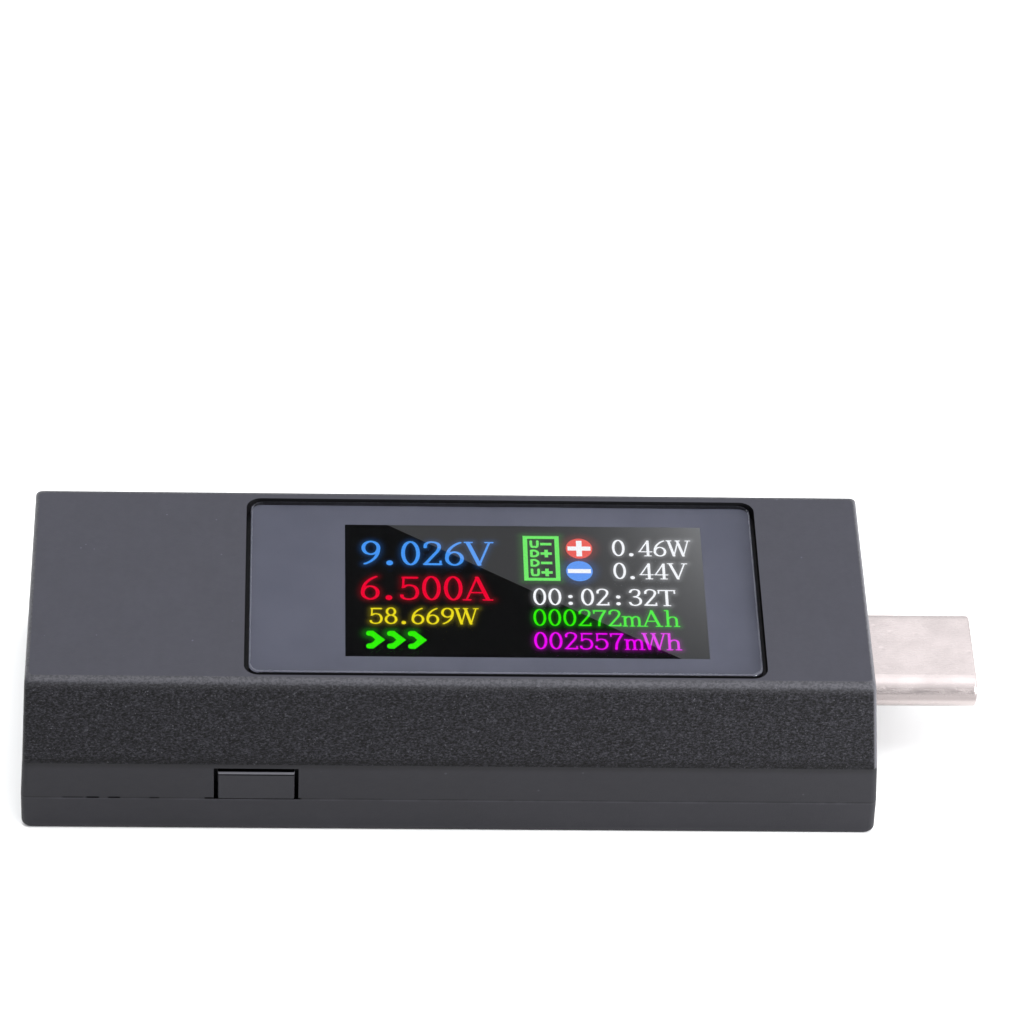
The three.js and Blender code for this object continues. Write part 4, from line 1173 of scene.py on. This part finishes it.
# ------------------------------------------------------------ stage and camera


def paper():
    """The floor, a wide pale sheet just under the object."""
    mesh = bmesh.new()
    reach, drop = 30.0, 0.00002  # metres
    corners = [(-reach, -reach), (reach, -reach), (reach, reach), (-reach, reach)]
    mesh.faces.new([mesh.verts.new((x, y, 0.0)) for x, y in corners])
    data = bpy.data.meshes.new("floor")
    mesh.to_mesh(data)
    mesh.free()
    floor = bpy.data.objects.new("floor", data)
    bpy.context.scene.collection.objects.link(floor)
    floor.location.z = -drop
    g = Graph("floor_paper")
    shade, white = (0.9, 0.9, 0.9, 1.0), (0.92, 0.92, 0.92, 1.0)
    g.principled(
        Base_Color=g.mix(g.noise(0.02, 2.0, 0.5), shade, white),
        Roughness=0.8,
        Specular_IOR_Level=0.2,
    )
    data.materials.append(g.material)


def lamp(light, towards):
    """Puts a light into the scene, shining from that direction."""
    piece = bpy.data.objects.new(light.name, light)
    piece.rotation_mode = "QUATERNION"
    piece.rotation_quaternion = towards.to_track_quat("Z", "Y")
    bpy.context.scene.collection.objects.link(piece)
    return piece


def overhead_lamp():
    """A very wide soft sun, almost straight above and a little in front."""
    light = bpy.data.lights.new("overhead", "SUN")
    light.energy = 1.75
    light.angle = math.radians(40.0)
    light.color = (1.0, 0.99, 0.98)
    azimuth, elevation = math.radians(185.0), math.radians(87.0)
    level = math.cos(elevation)
    towards = (math.sin(azimuth) * level, math.cos(azimuth) * level, math.sin(elevation))
    lamp(light, Vector(towards)).visible_glossy = False


def side_lamp():
    """A soft panel near the plug end, so the front wall brightens towards it."""
    light = bpy.data.lights.new("side_panel", "AREA")
    light.shape = "DISK"
    light.size = 0.06
    light.energy = 0.13
    place = Vector((CASE_HIGH.x + 70.0, -75.0, 45.0)) * MM
    aim = Vector((CASE_HIGH.x, 0.0, 5.0)) * MM
    panel = lamp(light, place - aim)
    panel.location = place
    panel.visible_camera = False


def surround():
    """Soft light from all round, brightest to the plug's side, overhead and behind.

    A small black card stands where the window mirrors the surround into the camera.
    """
    world = bpy.data.worlds.new("surround")
    bpy.context.scene.world = world
    world.use_nodes = True
    tree = world.node_tree

    def add(kind, *inputs, **settings):
        node = tree.nodes.new(kind)
        for key, value in settings.items():
            setattr(node, key, value)
        for socket, value in zip(node.inputs, inputs):
            if isinstance(value, bpy.types.NodeSocket):
                tree.links.new(value, socket)
            else:
                socket.default_value = value
        return node.outputs[0]

    def calc(operation, *values):
        return add("ShaderNodeMath", *values, operation=operation)

    def ramp(value, low, high, start, end):
        """A share that goes from start to end as the value goes from low to high."""
        settings = {"interpolation_type": "SMOOTHSTEP"}
        return add("ShaderNodeMapRange", value, low, high, start, end, **settings)

    direction = tree.nodes.new("ShaderNodeTexCoord").outputs["Generated"]
    split = tree.nodes.new("ShaderNodeSeparateXYZ")
    tree.links.new(direction, split.inputs[0])
    x, y, z = split.outputs
    overhead = calc("ADD", ramp(z, 0.35, 0.9, 0.0, 0.5), ramp(z, 0.88, 0.97, 0.0, 0.35))
    behind = calc("MULTIPLY", ramp(y, 0.1, 0.8, 0.0, 0.35), ramp(z, 0.0, 0.4, 0.0, 1.0))
    right = calc("MULTIPLY", ramp(x, 0.35, 0.95, 0.0, 1.1), ramp(z, 0.2, 0.5, 0.0, 1.0))
    left = ramp(x, -0.95, -0.35, -0.25, 0.0)
    front = ramp(y, -0.8, -0.1, -0.12, 0.0)
    level = calc("ADD", calc("ADD", overhead, behind), calc("ADD", right, left))
    level = calc("ADD", level, calc("ADD", front, 0.5))
    level = calc("MULTIPLY", level, 1.35)
    away_x = calc("ABSOLUTE", calc("SUBTRACT", x, CARD.x))
    away_z = calc("ABSOLUTE", calc("SUBTRACT", z, CARD.z))
    beside = ramp(away_x, 0.048, 0.062, 0.0, 1.0)
    past = ramp(away_z, 0.016, 0.03, 0.0, 1.0)
    in_front = ramp(y, 0.0, 0.1, 1.0, 0.0)
    clear = calc("MAXIMUM", calc("MAXIMUM", beside, past), in_front)  # 0 on the card
    level = calc("MULTIPLY", level, clear)
    background = tree.nodes["Background"]
    background.inputs["Color"].default_value = (0.96, 0.98, 1.0, 1.0)
    tree.links.new(level, background.inputs["Strength"])


# The camera's measured place: it looks down at the top face from the front, a little left.
CAMERA_AT = Vector((-14.53, -300.89, 259.2)) * MM
CAMERA_RIGHT = Vector((0.99920991, -0.02437527, 0.03139103))
CAMERA_UP = Vector((-0.0092683, 0.62514862, 0.7804507))
# The direction that the window's middle mirrors into the camera.
CARD = Vector((-CAMERA_AT.x, -CAMERA_AT.y, CAMERA_AT.z - CASE_HIGH.z * MM)).normalized()


def camera():
    """A long lens, at the photograph's distance and angle."""
    lens = bpy.data.cameras.new("camera")
    lens.sensor_width, lens.lens = 36.0, 204.2  # millimetres
    lens.clip_start, lens.clip_end = 0.02, 100.0  # metres
    eye = bpy.data.objects.new("camera", lens)
    right = CAMERA_RIGHT.normalized()
    back = right.cross(CAMERA_UP).normalized()
    up = back.cross(right)
    turn = Matrix((right, up, back)).transposed().to_4x4()
    eye.matrix_world = Matrix.Translation(CAMERA_AT) @ turn
    bpy.context.scene.collection.objects.link(eye)
    bpy.context.scene.camera = eye


camera()
dress_nodes()
lit_picture()
ink_frame()
snap_dome()
paper()
overhead_lamp()
side_lamp()
surround()
bpy.context.scene.view_settings.view_transform = "Standard"
